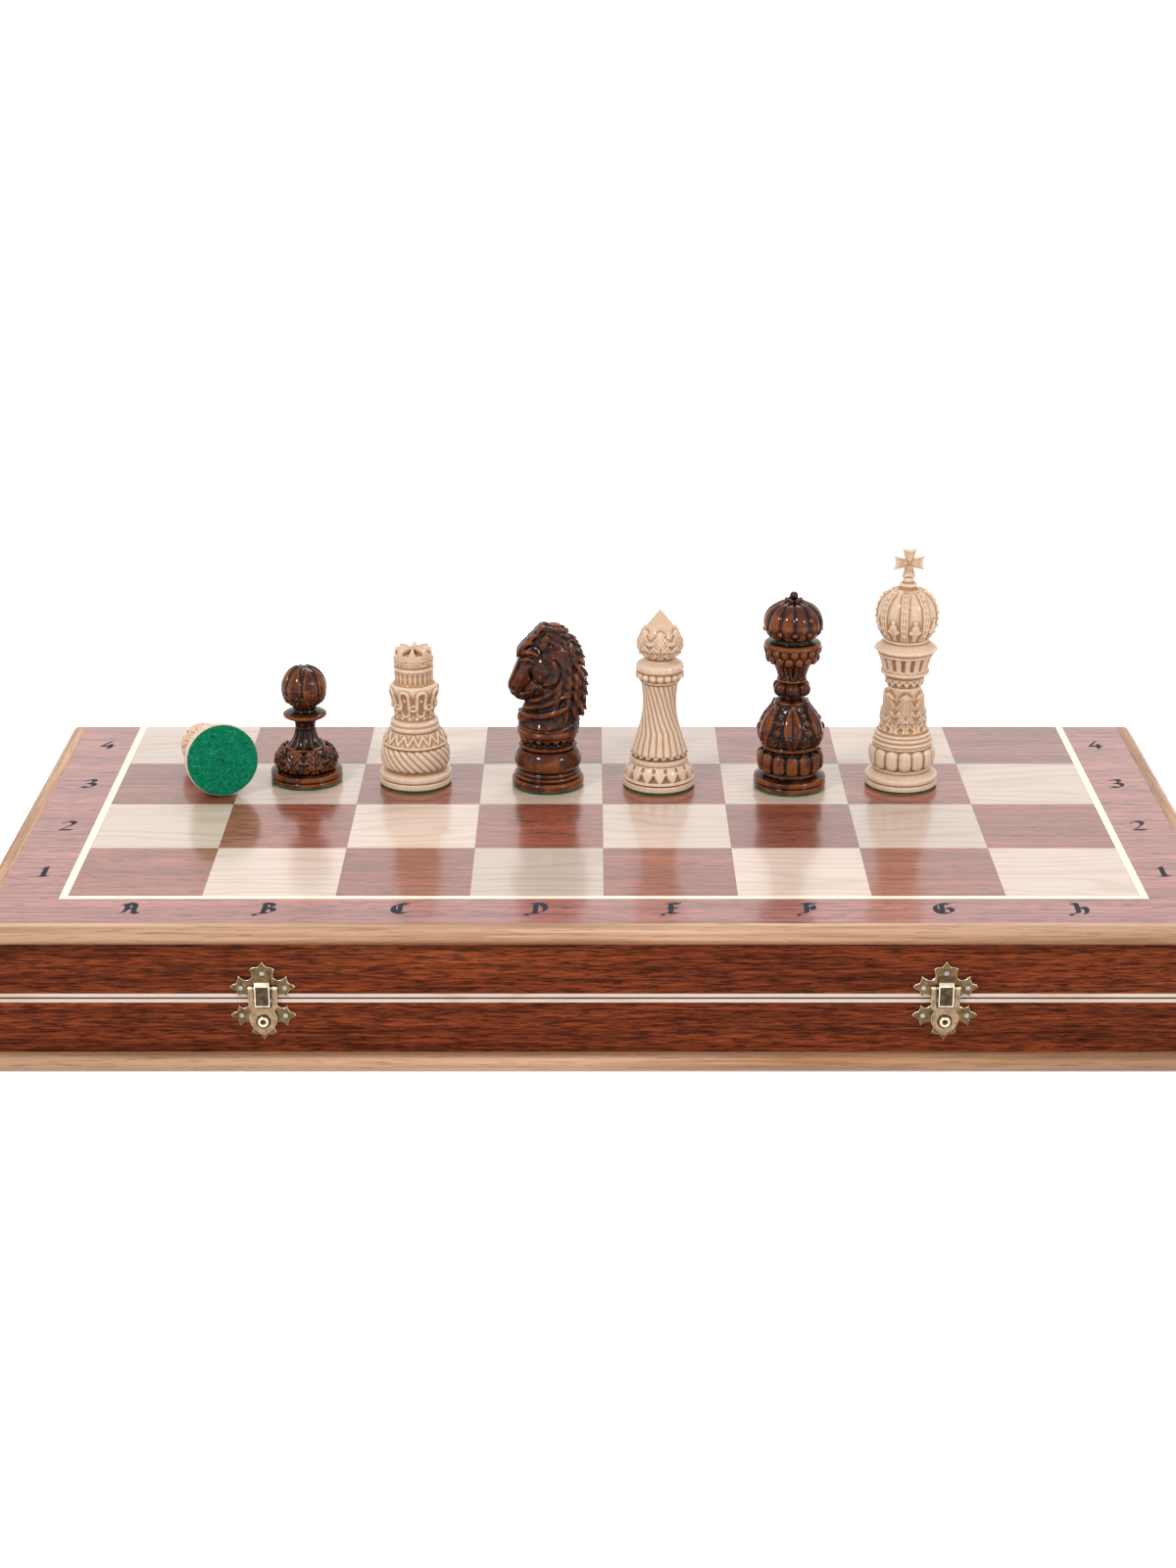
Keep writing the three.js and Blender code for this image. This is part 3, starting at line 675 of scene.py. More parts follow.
def rook():
    profile = [
        *foot(6.4, 3.6, 14.3, 7.8), (14.0, 8.2), (16.9, 9.4, 16.7, 14.4), (16.6, 19.0, 15.2, 20.4),
        (15.7, 20.8), (15.7, 21.4), (15.1, 22.0), (13.6, 25.0, 11.9, 27.0), (11.2, 27.4), (11.9, 27.8),
        *arc(11.2, 28.9, 0.9, 1.1, -80, 80, 8), (11.3, 30.3), *arc(10.8, 31.4, 0.9, 1.0, -80, 80, 8),
        (9.4, 33.2), (9.0, 36.0, 9.5, 40.0), (10.4, 44.0),
        (11.1, 46.4), (11.3, 47.6), (11.1, 49.2), (10.4, 50.0), (9.4, 50.4), (9.2, 51.0), (9.4, 56.6),
        *arc(9.1, 57.8, 0.7, 0.9, -80, 80, 8), (9.0, 59.0), (9.1, 63.4), (8.8, 67.6), (8.4, 68.0),
        (4.0, 68.0), (0, 68.0),
    ]
    reliefs = [
        gadroons(8.4, 20.4, 26, 1.1, twist=0.055, cap=1.6),
        zigzag(22.4, 26.6, 18, 0.7),
        cord(38.6, 48.0, 8, 0.85, 1.15),
        cord(35.4, 41.0, 8, 0.6, 0.75, phase=0.5),
        pearls(34.4, 16, 0.9, 0.6),
        pearls(43.4, 8, 0.8, 0.7),
        flutes(51.2, 56.4, 22, 0.55),
        speckle(59.6, 63.4, 1.25, 0.9, 5),
    ]
    return profile, reliefs


def merlons(r, phi):
    """The rook's open top: eight wedges that run in from the rim to the middle, with gaps between them."""
    across = np.abs(sector(phi, 8, 0.5))
    ridge = 1 - smooth(across, 0.1, 0.62)
    return 64.9 + 3.1 * ridge * (0.55 + 0.45 * smooth(r, 0.5, 3.5)) + 0.8 * (1 - smooth(r, 0, 3))


def bishop():
    profile = [
        *foot(4.6, 3.6, 17.0, 4.9), (16.8, 5.2), (16.2, 9.5, 13.9, 12.2), (13.3, 12.5), (14.0, 12.9),
        (14.0, 14.6), (13.2, 15.2), (12.9, 15.8), (13.9, 16.4), (13.9, 17.0), (11.8, 23.5, 10.0, 29.2),
        (8.2, 35.6, 8.1, 40.0), (8.0, 45.0, 8.9, 52.0), (9.8, 52.4), (9.8, 53.3), (9.9, 53.9), (10.6, 57.2),
        (10.9, 57.6), (11.5, 58.4), (11.5, 60.0), (11.1, 60.9), (7.2, 63.2), (6.0, 63.4), (6.2, 63.9),
        (6.8, 64.3), (9.8, 67.0, 9.8, 71.2), (9.3, 76.4, 5.0, 81.2), (2.0, 84.9, 0, 87.3),
    ]

    def hem(r, z, phi):
        edge = 16.7 + 0.9 * np.cos(sector(phi, 22) * math.pi)
        return -1.1 * smooth(edge - z, -0.1, 0.3) * band(z, 15.3, 18.5, 0.5)

    reliefs = [
        teeth(5.4, 9.8, 16, 1.9, reach=0.85),
        pearls(11.0, 16, 1.05, -1.1),
        hem,
        gadroons(17.2, 51.9, 22, 0.85, twist=0.036, twist_from=28, cap=1.2),
        pearls(55.5, 18, 1.75, 1.6),
        leaves(64.4, 78.0, 6, 0.8, lobes=4, notch=0.28, belly=0.36, proud=0.35),
        leaves(64.4, 73.5, 6, 0.65, phase=0.5, lobes=3, notch=0.28, belly=0.4, width=0.8),
    ]
    return profile, reliefs


def queen():
    profile = [
        *foot(5.9, 3.3, 13.8, 7.2), (13.3, 7.6), (16.2, 8.6, 16.1, 14.2), (16.0, 19.6, 13.4, 20.2),
        (13.9, 20.8), (13.9, 21.9), (13.2, 22.3), (15.4, 24.6, 15.1, 28.7), (14.6, 33.6, 11.2, 37.4),
        (8.4, 40.4, 8.0, 43.4), (7.2, 43.8),
        (5.2, 45.0), (5.2, 52.8), (7.2, 53.4), (7.2, 54.2), (6.6, 54.6), (7.6, 59.4, 9.4, 61.8), (10.6, 62.4),
        (11.4, 63.4), (11.8, 66.2), (11.4, 67.0), (12.6, 67.4), (12.9, 69.8), (13.5, 70.4), (13.5, 71.6),
        (12.9, 72.2), (10.2, 72.8),
        (10.0, 74.0), (14.6, 77.0, 14.3, 82.2), (13.6, 88.4, 7.0, 91.2), (3.6, 92.0), (2.6, 92.8), (0, 93.2),
    ]

    def seams(r, z, phi):
        return 0.35 * smooth(0.1 - np.abs(1 - np.abs(sector(phi, 12))), 0, 0.08) * band(z, 76, 91.5, 1.5)

    reliefs = [
        gadroons(8.0, 20.2, 14, 2.3, cap=3.2),
        leaves(23.0, 43.2, 6, 0.95, lobes=1, notch=0.0, belly=0.34, width=0.62, veins=0.0, proud=0.5),
        scrolls(26.0, 12, 2.5, 0.8, phase=0.25),
        pearls(30.4, 6, 1.9, 1.5, phase=0.5),
        pearls(34.6, 6, 1.5, 1.2, phase=0.5),
        pearls(38.0, 6, 1.15, 0.9, phase=0.5),
        pearls(40.6, 6, 0.85, 0.7, phase=0.5),
        slots(55.4, 61.4, 10, 0.9, fill=0.3),
        pearls(64.9, 16, 2.0, 1.5),
        pearls(68.8, 18, 1.9, 1.1),
        gadroons(74.2, 94.0, 12, 1.0, cap=2.0),
        seams,
        pearls(78.4, 12, 1.3, 1.1, phase=0.5),
    ]
    return profile, reliefs


def king():
    profile = [
        *foot(5.8, 3.3, 13.8, 8.2), (13.4, 8.6), (16.0, 10.0, 15.9, 15.4), (15.9, 20.4, 14.2, 21.2),
        *arc(13.8, 22.4, 0.8, 0.8, -80, 80, 7), (13.6, 23.6), *arc(13.3, 24.6, 0.7, 0.8, -80, 80, 7),
        (13.0, 25.7), *arc(12.7, 26.5, 0.7, 0.7, -80, 80, 7), (12.2, 27.4), (10.2, 29.2, 9.6, 33.0),
        (8.4, 40.0, 7.9, 45.8), (8.1, 49.6), (9.3, 50.2), (9.5, 54.6), (10.4, 55.4), (11.6, 56.2),
        (11.6, 57.2), (10.8, 57.6), (11.4, 61.0, 12.9, 65.0), (13.4, 65.4), (13.4, 66.0), (13.0, 66.4),
        (15.1, 68.0), (14.9, 68.5), (12.8, 70.4, 10.4, 71.9), (10.9, 72.3), (10.9, 73.0), (10.4, 73.4),
        (14.4, 79.0, 13.9, 85.6), (13.2, 92.6, 8.0, 95.8), (4.6, 97.2), (3.8, 98.2), (4.4, 98.8),
        (4.2, 99.6), (2.9, 100.2), (2.3, 102.2), (0, 102.6),
    ]

    def fringe(r, z, phi):
        edge = 51.6 + 1.0 * np.cos(sector(phi, 16) * math.pi)
        return -1.1 * smooth(edge - z, -0.1, 0.3) * band(z, 49.6, 53.2, 0.4)

    reliefs = [
        gadroons(9.0, 21.0, 14, 2.2, cap=3.4),
        leaves(28.2, 47.0, 6, 1.0, lobes=5, notch=0.2, belly=0.42, veins=0.42, proud=1.3),
        leaves(28.2, 39.0, 6, 0.7, phase=0.5, lobes=3, notch=0.2, belly=0.4, veins=0.35),
        fringe,
        pearls(53.0, 16, 0.7, -0.6, phase=0.5),
        slots(58.4, 64.8, 16, 1.4, fill=0.42),
        ribs(74.0, 96.0, 8, 1.7, 0.8, phase=0.25, edged=True),
        *[pearls(height, 8, 0.75, 0.8, phase=0.25) for height in (77, 80, 83, 86, 89, 91.6, 93.8)],
        leaves(74.2, 82.6, 8, 0.8, phase=-0.25, lobes=2, notch=0.3, belly=0.5, width=0.55),
        pearls(83.4, 8, 1.1, 0.9, phase=-0.25),
    ]
    return profile, reliefs


def knight():
    profile = [
        (0, FELT_THICKNESS), (16.9, FELT_THICKNESS), (BASE_R, 1.1), (BASE_R, 3.9), (16.6, 4.7), (15.4, 5.0),
        (15.4, 5.4), (15.9, 5.8), (15.9, 6.6), (15.0, 7.1), (14.6, 7.5), (15.0, 7.9), (15.0, 8.6),
        (14.4, 9.1), (16.3, 11.0, 16.1, 14.0), (15.8, 17.8, 13.0, 19.4), (12.4, 19.7), (12.8, 20.0),
        (14.0, 20.4), (14.2, 21.1), (13.4, 21.6), (12.9, 22.0), (13.9, 25.6), (13.2, 26.0), (12.6, 26.2),
        *arc(13.5, 28.0, 1.5, 1.6, -80, 80, 12), (12.0, 30.4), (0, 31.0),
    ]
    reliefs = [
        arcade(22.0, 25.8, 20, 1.6, fill=0.7),
        arcade(22.0, 24.2, 20, 1.0, fill=0.4, phase=0.5),
    ]
    return profile, reliefs


def bend(start, middle, end, steps=9):
    """Points along a curve from start to end, pulled towards middle."""
    t = np.linspace(0, 1, steps)[:, None]
    start, middle, end = np.array(start, float), np.array(middle, float), np.array(end, float)
    return (1 - t) ** 2 * start + 2 * t * (1 - t) * middle + t * t * end


NEAR_AND_FAR = (np.array([1, 1, 1]), np.array([1, -1, 1]))
# ridges over and under the eye, on the brow, lip, cheek, ear and neck: a bend and the rod's radii along it
HEAD_LINES = [
    (((-12.4, -4.2, 63.0), (-9.8, -7.4, 66.4), (-6.0, -6.6, 62.6)), (0.5, 0.9, 0.5)),
    (((-12.2, -4.2, 62.2), (-9.4, -6.6, 60.0), (-6.6, -6.4, 62.4)), (0.3, 0.6, 0.3)),
    (((-13.2, -3.0, 65.4), (-9.6, -6.8, 69.6), (-4.6, -6.8, 66.4)), (0.7, 1.3, 0.8)),
    (((-17.2, -1.6, 50.6), (-17.6, -4.4, 48.6), (-15.0, -4.2, 47.4)), (0.5, 0.9, 0.5)),
    (((-10.6, -5.4, 59.6), (-12.6, -5.2, 55.0), (-13.4, -4.6, 52.0)), (0.5, 1.0, 0.4)),
    (((-1.0, -5.2, 67.6), (-2.6, -8.2, 72), (0.6, -5.6, 77.4)), (1.3, 2.4, 1.9, 0.4)),
    (((-8.6, -2.6, 42.6), (-3.0, -9.8, 44.4), (5.6, -10.8, 51.4)), (0.7, 1.3, 1.5, 0.9)),
    (((-10.6, -2.4, 39.4), (-3.6, -11.0, 40.4), (8.0, -11.6, 47.4)), (0.7, 1.5, 1.7, 0.9)),
    (((-13.4, -2.6, 36.6), (-3.6, -13.4, 35.6), (9.0, -12.6, 42.0)), (0.9, 1.7, 1.8, 0.9)),
]


def horse_masses(clay):
    """The horse's bust as overlapping solid masses. It looks towards -X."""
    clay.rod(bend((4, 0, 66), (7.5, 0, 50), (1.5, 0, 29), 12), (9.8, 10.6, 11.6, 13.6))
    clay.ball((0.3, 0, 30.5), (14.8, 13.4, 6.2))
    clay.ball((-7.5, 0, 34.2), (7.4, 8.2, 4.6))
    clay.ball((-3.5, 0, 61.5), (9.6, 7.2, 10.0))
    clay.ball((0.0, 0, 70.5), (7.4, 5.8, 9.4))
    clay.rod([(-8.0, 0, 60.4), (-14.0, 0, 50.2)], (7.0, 5.2))
    clay.ball((-14.9, 0, 48.4), (3.5, 4.2, 4.2))
    clay.ball((-12.6, 0, 45.0), (3.4, 3.3, 2.4))
    clay.rod([(-11.4, 0, 46.6), (-3, 0, 51.4)], (4.4, 6.8))
    clay.rod(bend((-6.5, 0, 42), (-9.0, 0, 39), (-8.4, 0, 34)), (3.4, 4.0, 5.4))
    for near in NEAR_AND_FAR:
        clay.ball(near * (-0.9, -3.9, 58.6), (7.3, 5.3, 7.4))
        clay.ball(near * (-9.6, -5.1, 63.2), (2.1, 1.7, 1.5))
        clay.ball(near * (-15.6, -3.2, 49.6), (1.7, 1.5, 1.6))
        for line, sizes in HEAD_LINES:
            clay.rod(near * bend(*line), sizes)


def lock(clay, root, knee, tip, size):
    """One tapering lock of hair."""
    clay.rod(bend(root, knee, tip, 6), (0.75 * size, size, 0.72 * size, 0.26 * size))


def horse_hair(clay):
    """Locks of the mane down the crest and both sides of the neck, and the curls of the forelock."""
    crest = np.vstack([bend((0.5, 0, 78.5), (13.0, 0, 74.4), (15.4, 0, 58), 12),
                       bend((15.4, 0, 58), (17.0, 0, 46), (14.0, 0, 32), 12)[1:]])
    along = np.gradient(crest, axis=0)
    along /= np.linalg.norm(along, axis=1, keepdims=True)
    outward = np.stack([-along[:, 2], 0 * along[:, 0], along[:, 0]], axis=1)
    side = np.array([0.0, 1.0, 0.0])
    rows = 17
    for row in range(rows):
        i = int(0.5 + row * (len(crest) - 3.0) / rows)
        reach = 6.0 + 4.8 * smooth(np.array(row / rows))
        middle = crest[i] - outward[i] * reach
        columns = 9 if row % 2 else 8
        spread = math.radians(215 if row > 3 else 170)
        for column in range(columns):
            turn = spread * ((column + 0.5) / columns - 0.5)
            way = math.cos(turn) * outward[i] + math.sin(turn) * side
            lean = 1.0 + 1.6 * abs(math.sin(turn))
            root = middle + way * (reach - 1.6)
            knee = middle + way * (reach + 1.3) + along[i] * 0.4
            tip = middle + way * (reach + 4.6 - 1.3 * lean) + along[i] * (3.2 + lean)
            lock(clay, root, knee, tip, 1.95)
    for row in range(7):
        down = row / 6
        for column in range(4):
            across = (column - 1.5 + 0.5 * (row % 2)) * 2.3
            root = np.array([-0.6 - 9.8 * down, across * 0.9, 78.2 - 10.4 * down])
            lock(clay, root, root + (-3.2, 0, 1.6), root + (-4.0, across * 0.25, -3.0), 1.7)
    lock(clay, (0, 0, 77), (0.6, 0, 80), (-1.8, 0, 80.6), 1.8)


def near_line(points, ends):
    """Distance of points from a segment in the side view (X, Z)."""
    flat = points[:, [0, 2]]
    start, end = (np.array(end, float) for end in ends)
    share = np.clip((flat - start) @ (end - start) / np.sum((end - start) ** 2), 0, 1)
    return np.linalg.norm(flat - start - share[:, None] * (end - start), axis=1)


def horse_relief(points):
    """Cuts on the bust's surface: mouth, nostril, cheek line, collar line and the strands of the hair."""
    x, y, z = points.T
    flank = smooth(np.abs(y), 1.0, 3.0)
    depth = -0.9 * np.exp(-(near_line(points, ((-15.8, 46.6), (-8.4, 48.4))) / 0.45) ** 2) * flank
    pit = np.hypot(x + 16.4, z - 49.4)
    depth -= 0.9 * np.exp(-(pit / 0.8) ** 2) * smooth(np.abs(y), 1.2, 2.2)
    cheek = np.hypot((x + 0.9) / 7.0, (z - 58.6) / 7.1)
    under = smooth(63 - z + 0.6 * x, -3, 3)
    depth -= 1.1 * np.exp(-(((cheek - 1.06) / 0.09) ** 2)) * under * flank
    hem = z - 30.6 - 0.012 * (x + 2) ** 2
    depth -= 0.7 * np.exp(-((hem / 0.4) ** 2))
    hair = smooth(x, 7, 9.5) * (1 - smooth(1.25 - cheek, 0, 0.2))
    strands = np.sin(7.5 * y + 1.7 * np.sin(0.5 * z)) * 0.5 + np.sin(5.3 * (x + 0.4 * z)) * 0.5
    depth += 0.12 * strands * np.maximum(hair, smooth(z, 68, 70))
    return depth


def averaged(values, edges, count, rounds):
    """Values spread over their neighbours along the edges."""
    both = np.concatenate([edges, edges[:, ::-1]])
    degree = np.maximum(np.bincount(both[:, 0], minlength=count), 1)[:, None]
    for _ in range(rounds):
        total = np.stack([np.bincount(both[:, 0], values[both[:, 1], axis], count)
                          for axis in range(values.shape[1])], axis=1)
        values = 0.5 * values + 0.5 * total / degree
    return values


def horse(carving, voxel):
    """Melts the masses and the hair into one skin, then carves the relief into it."""
    clay = Carving()
    horse_masses(clay)
    horse_hair(clay)
    rough = bpy.data.objects.new("clay", clay.mesh("clay", 1.0))
    bpy.context.collection.objects.link(rough)
    melt = rough.modifiers.new("melt", "REMESH")
    melt.mode = "VOXEL"
    melt.voxel_size = voxel
    settle = rough.modifiers.new("settle", "SMOOTH")
    settle.iterations = 2
    graph = bpy.context.evaluated_depsgraph_get()
    skin = bpy.data.meshes.new_from_object(rough.evaluated_get(graph))
    bpy.data.objects.remove(rough)
    count = len(skin.vertices)
    points, facing = np.empty(count * 3), np.empty(count * 3)
    skin.vertices.foreach_get("co", points)
    skin.vertex_normals.foreach_get("vector", facing)
    points, facing = points.reshape(-1, 3), facing.reshape(-1, 3)
    edges = np.empty(len(skin.edges) * 2, int)
    skin.edges.foreach_get("vertices", edges)
    points = points + facing * horse_relief(points)[:, None]
    points[:, 2] = np.maximum(points[:, 2], 26.5)
    edges = edges.reshape(-1, 2)
    away = sum(np.einsum("ij,ij->i", points - averaged(points, edges, count, rounds), facing) * gain
               for rounds, gain in ((8, 1.7), (60, 0.4)))
    quads = [polygon.vertices[:] for polygon in skin.polygons if len(polygon.vertices) == 4]
    triangles = [polygon.vertices[:] for polygon in skin.polygons if len(polygon.vertices) == 3]
    carving.add(points, quads, triangles, np.clip(0.5 + away, 0, 1))


def carved_wood(name, stops, rubbed, roughness, coat):
    """Polished wood with painted shade that darkens the cuts, and paler on the high points, partly rubbed
    wear and partly painted highlight.
    """
    tree = Tree(name)
    place = tree.place()
    raised = tree.node("Attribute", output="Fac", attribute_name="raised", attribute_type="GEOMETRY")
    patches = tree.noise(place, 110, 4, 0.6, 0.6)
    grain = tree.noise(tree.scaled(place, (900, 900, 70)), 1.0, 4, 0.6, 0.3)
    # the relief level picks the colour: painted shade in the cuts, paler rubbed wear and painted highlight on
    # the high points; the patches are rubbed wear
    lift = tree.math("ADD", raised, tree.math("MULTIPLY", tree.math("SUBTRACT", patches, 0.5), rubbed))
    colour = tree.ramp(lift, stops)
    shade = tree.ramp(grain, [(0.34, (0.9, 0.87, 0.84)), (0.56, (1.0, 1.0, 1.0)), (0.75, (1.06, 1.05, 1.03))])
    colour = tree.mix(1.0, colour, shade, "MULTIPLY")
    gloss = tree.level(lift, 0.2, 0.8, roughness + 0.18, roughness)
    return tree.finish(colour, gloss, grain, 0.07, Coat_Weight=coat, Coat_Roughness=0.08,
                       Specular_IOR_Level=0.06, Specular_Tint=(1.0, 0.78, 0.66, 1))


# The low stops paint shade into the cuts; the high stops are paler, rubbed wear and painted highlight on the
# high points.
DARK_STOPS = [(0.3, (0.004, 0.0016, 0.0012)), (0.5, (0.02, 0.005, 0.0028)), (0.68, (0.052, 0.0125, 0.0042)),
              (0.86, (0.085, 0.02, 0.006)), (1.0, (0.17, 0.046, 0.009))]
LIGHT_STOPS = [(0.15, (0.36, 0.2, 0.1)), (0.4, (0.51, 0.345, 0.22)), (0.58, (0.58, 0.42, 0.295)),
               (0.85, (0.65, 0.49, 0.37))]
DARK_WOOD = carved_wood("dark carved wood", DARK_STOPS, 1.6, 0.14, 0.45)
LIGHT_WOOD = carved_wood("light carved wood", LIGHT_STOPS, 0.4, 0.28, 0.3)
WOODS = {"dark": ("dark_wood", DARK_WOOD), "light": ("light_wood", LIGHT_WOOD)}


def stand(node):
    """Where a piece stands or lies: a matrix with its base's middle as origin and its axis as Z.
    The base is the largest flat patch that has the whole solid on one side of it."""
    mesh = nodes[node].data
    points = np.array([vertex.co for vertex in mesh.vertices])
    patches = {}
    for polygon in mesh.polygons:
        reach = polygon.center.dot(polygon.normal)
        key = (*(round(part, 2) for part in polygon.normal), round(reach / MM, 1))
        patches.setdefault(key, []).append(polygon)
    best = None
    for group in patches.values():
        area = sum(polygon.area for polygon in group)
        normal = group[0].normal
        reach = points @ np.array(normal)
        if reach.max() - np.dot(group[0].center, normal) < 0.1 * MM and (best is None or area > best[0]):
            corners = np.array([mesh.vertices[i].co for polygon in group for i in polygon.vertices])
            best = (area, -normal, Vector((corners.min(axis=0) + corners.max(axis=0)) / 2))
    _, axis, middle = best
    side = Vector((1, 0, 0)) if abs(axis.z) > 0.9 else axis.cross(Vector((0, 0, 1))).normalized()
    front = axis.cross(side)
    matrix = Matrix((side, front, axis)).transposed().to_4x4()
    matrix.translation = middle
    return matrix


def felt_disc():
    """The felt pad under a base: a soft-edged disc in millimetres."""
    pad = Carving()
    profile = [(0, 0), (16.4, 0), (16.8, 0.15), (16.85, 0.5), (16.6, FELT_THICKNESS), (0, FELT_THICKNESS)]
    fuzz = [speckle(-1, 2, 0.4, 0.12, 3)]
    pad.turned(profile, fuzz, 96, 1.2)
    return pad.mesh("felt pad")


def crown_of_balls(carving, count, ring_r, height, size):
    """A ring of separate round beads."""
    for i in range(count):
        angle = 2 * math.pi * (i + 0.5) / count
        carving.ball((ring_r * math.cos(angle), ring_r * math.sin(angle), height), (size, size, size))


def cross_patty(carving, middle, reach, columns):
    """A cross of four flared arms with hollow faces, rimmed edges and a pierced flower in the middle."""
    neck, flare, thick = 1.9, 0.27, 1.5
    angle = np.linspace(0, 2 * math.pi, columns, endpoint=False)
    turned = np.abs((angle + math.pi / 4) % (math.pi / 2) - math.pi / 4)
    slope = np.tan(turned)
    corner = (neck + flare * (reach - neck)) / reach
    side = neck * (1 - flare) / np.maximum(slope - flare, 1e-3)
    end = reach - 0.8 * (1 - np.clip(slope / corner, 0, 1) ** 2)
    outline = np.where(slope < corner, end, np.minimum(side, reach)) / np.cos(turned)
    share = np.array([0, 0.15, 0.3, 0.42, 0.55, 0.68, 0.8, 0.88, 0.94, 0.985, 1.0])
    depth = np.array([1.25, 1.2, 1.15, 0.95, 0.75, 0.62, 0.66, 0.95, 1.0, 0.85, 0.55]) * thick
    rows = np.concatenate([share, share[::-1]])
    deep = np.concatenate([-depth, depth[::-1]])
    x = rows[:, None] * outline * np.cos(angle)
    z = rows[:, None] * outline * np.sin(angle)
    hub = np.hypot(x, z)
    petals = 0.35 * np.exp(-((hub - 2.0) / 0.45) ** 2) * (0.6 + 0.4 * np.cos(8 * angle))
    pits = sum(np.exp(-(((x - a) ** 2 + (z - b) ** 2) / 0.13)) for a in (-0.75, 0.75) for b in (-0.75, 0.75))
    y = deep[:, None] + np.sign(deep[:, None]) * (petals - 0.7 * pits)
    grid = np.stack([x, y, middle + z], axis=-1)
    # painted shade in the pits; the rims and petals are paler, rubbed wear and painted highlight
    raised = np.clip(0.42 + 0.4 * smooth(rows, 0.7, 0.95)[:, None] + 0.5 * petals - 0.4 * pits, 0, 1)
    carving.add_grid(grid, raised + 0 * x)


SHAPES = {"pawn": pawn, "rook": rook, "knight": knight, "bishop": bishop, "queen": queen, "king": king}


def carve(kind, fine):
    """The mesh of one kind of piece, with its base at the origin and its axis up."""
    columns, step = (208, 0.35) if fine else (84, 0.8)
    profile, reliefs = SHAPES[kind]()
    carving = Carving()
    carving.turned(profile, reliefs, columns, step, merlons if kind == "rook" else None)
    if kind == "queen":
        crown_of_balls(carving, 6, 6.3, 49.4, 3.4)
        crown_of_balls(carving, 8, 3.6, 92.3, 1.1)
        carving.ball((0, 0, 94.6), (2.0, 2.0, 2.0))
    if kind == "knight":
        horse(carving, 0.46 if fine else 0.9)
    if kind == "king":
        cross_patty(carving, 109.4, 7.2, 160 if fine else 64)
    return carving.mesh(f"carved {kind}")


def add_piece(node, kind, colour, fine):
    """Replaces a plain chess piece with its carved copy and its felt pad."""
    if (kind, fine) not in carved:
        carved[kind, fine] = carve(kind, fine)
    slot, wood = WOODS[colour]
    mesh = carved[kind, fine].copy()
    mesh.name = f"carved_{node}"
    mesh.materials.append(wood)
    pad_mesh = pad_design.copy()
    pad_mesh.materials.append(FELT)
    place = stand(node)
    add_object(f"carved_{node}", mesh, body_of[node], slot, node, place=place)
    add_object(f"pad_{node}", pad_mesh, body_of[node], "felt", place=place)


carved = {}
pad_design = felt_disc()
body_of = {node: body for body, group in frame["record"]["behaviour"]["bodies"].items() for node in group}
for node in sorted(nodes):
    words = node.split("_")
    if words[0] in WOODS:
        add_piece(node, words[1], words[0], True)
    elif words[0] == "stored":
        add_piece(node, words[2], words[1], False)


# ---- Oak edging: three mitred strips with a rounded nose round each half ----
def edging_section(depth, height):
    """Outline of a strip's section as (out, up), with a half-round nose."""
    nose = height / 2
    return [(0, height), (0, 0), *arc(depth - nose, nose, nose, nose, -90, 90, 20)]


def build_edging(half):
    """Three strips, at the left, front and right, mitred at the two front corners."""
    low, high = (Vector(corner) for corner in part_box(f"{half}_edging"))
    panel = Vector(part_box(f"{half}_panel")[1])
    inner_x = panel.x + 0.1 * MM
    depth = high.x - inner_x
    inner_y = low.y + depth
    section = [(out * MM, up * MM) for out, up in edging_section(depth / MM, (high.z - low.z) / MM)]
    # each corner is a point on the inner line and the way the strip's section points there
    route = [((-inner_x, high.y), (-1, 0)), ((-inner_x, inner_y), (-1, -1)),
             ((inner_x, inner_y), (1, -1)), ((inner_x, high.y), (1, 0))]
    points, faces, woods = [], [], []
    count = len(section)
    for strip, ends in enumerate(zip(route, route[1:])):
        first = len(points)
        for (x, y), (way_x, way_y) in ends:
            points += [(x + way_x * out, y + way_y * out, low.z + up) for out, up in section]
        rings = [(first + i, first + (i + 1) % count) for i in range(count)]
        strip_faces = [(b, a, a + count, b + count) for a, b in rings]
        strip_faces.append(tuple(range(first, first + count)))
        strip_faces.append(tuple(range(first + 2 * count - 1, first + count - 1, -1)))
        faces += strip_faces
        woods += [0 if strip == 1 else 1] * len(strip_faces)
    mesh = bpy.data.meshes.new(f"{half}_oak_strips")
    mesh.from_pydata(points, [], faces)
    mesh.polygons.foreach_set("material_index", woods)
    for polygon in mesh.polygons:
        polygon.use_smooth = len(polygon.vertices) == 4 and abs(polygon.normal.z) < 0.999
    for wood in (OAK_X, OAK_Y):
        mesh.materials.append(wood)
    add_object(f"{half}_oak_strips", mesh, f"{half}_half", "oak", f"{half}_edging")


for half in ("upper", "lower"):
    build_edging(half)


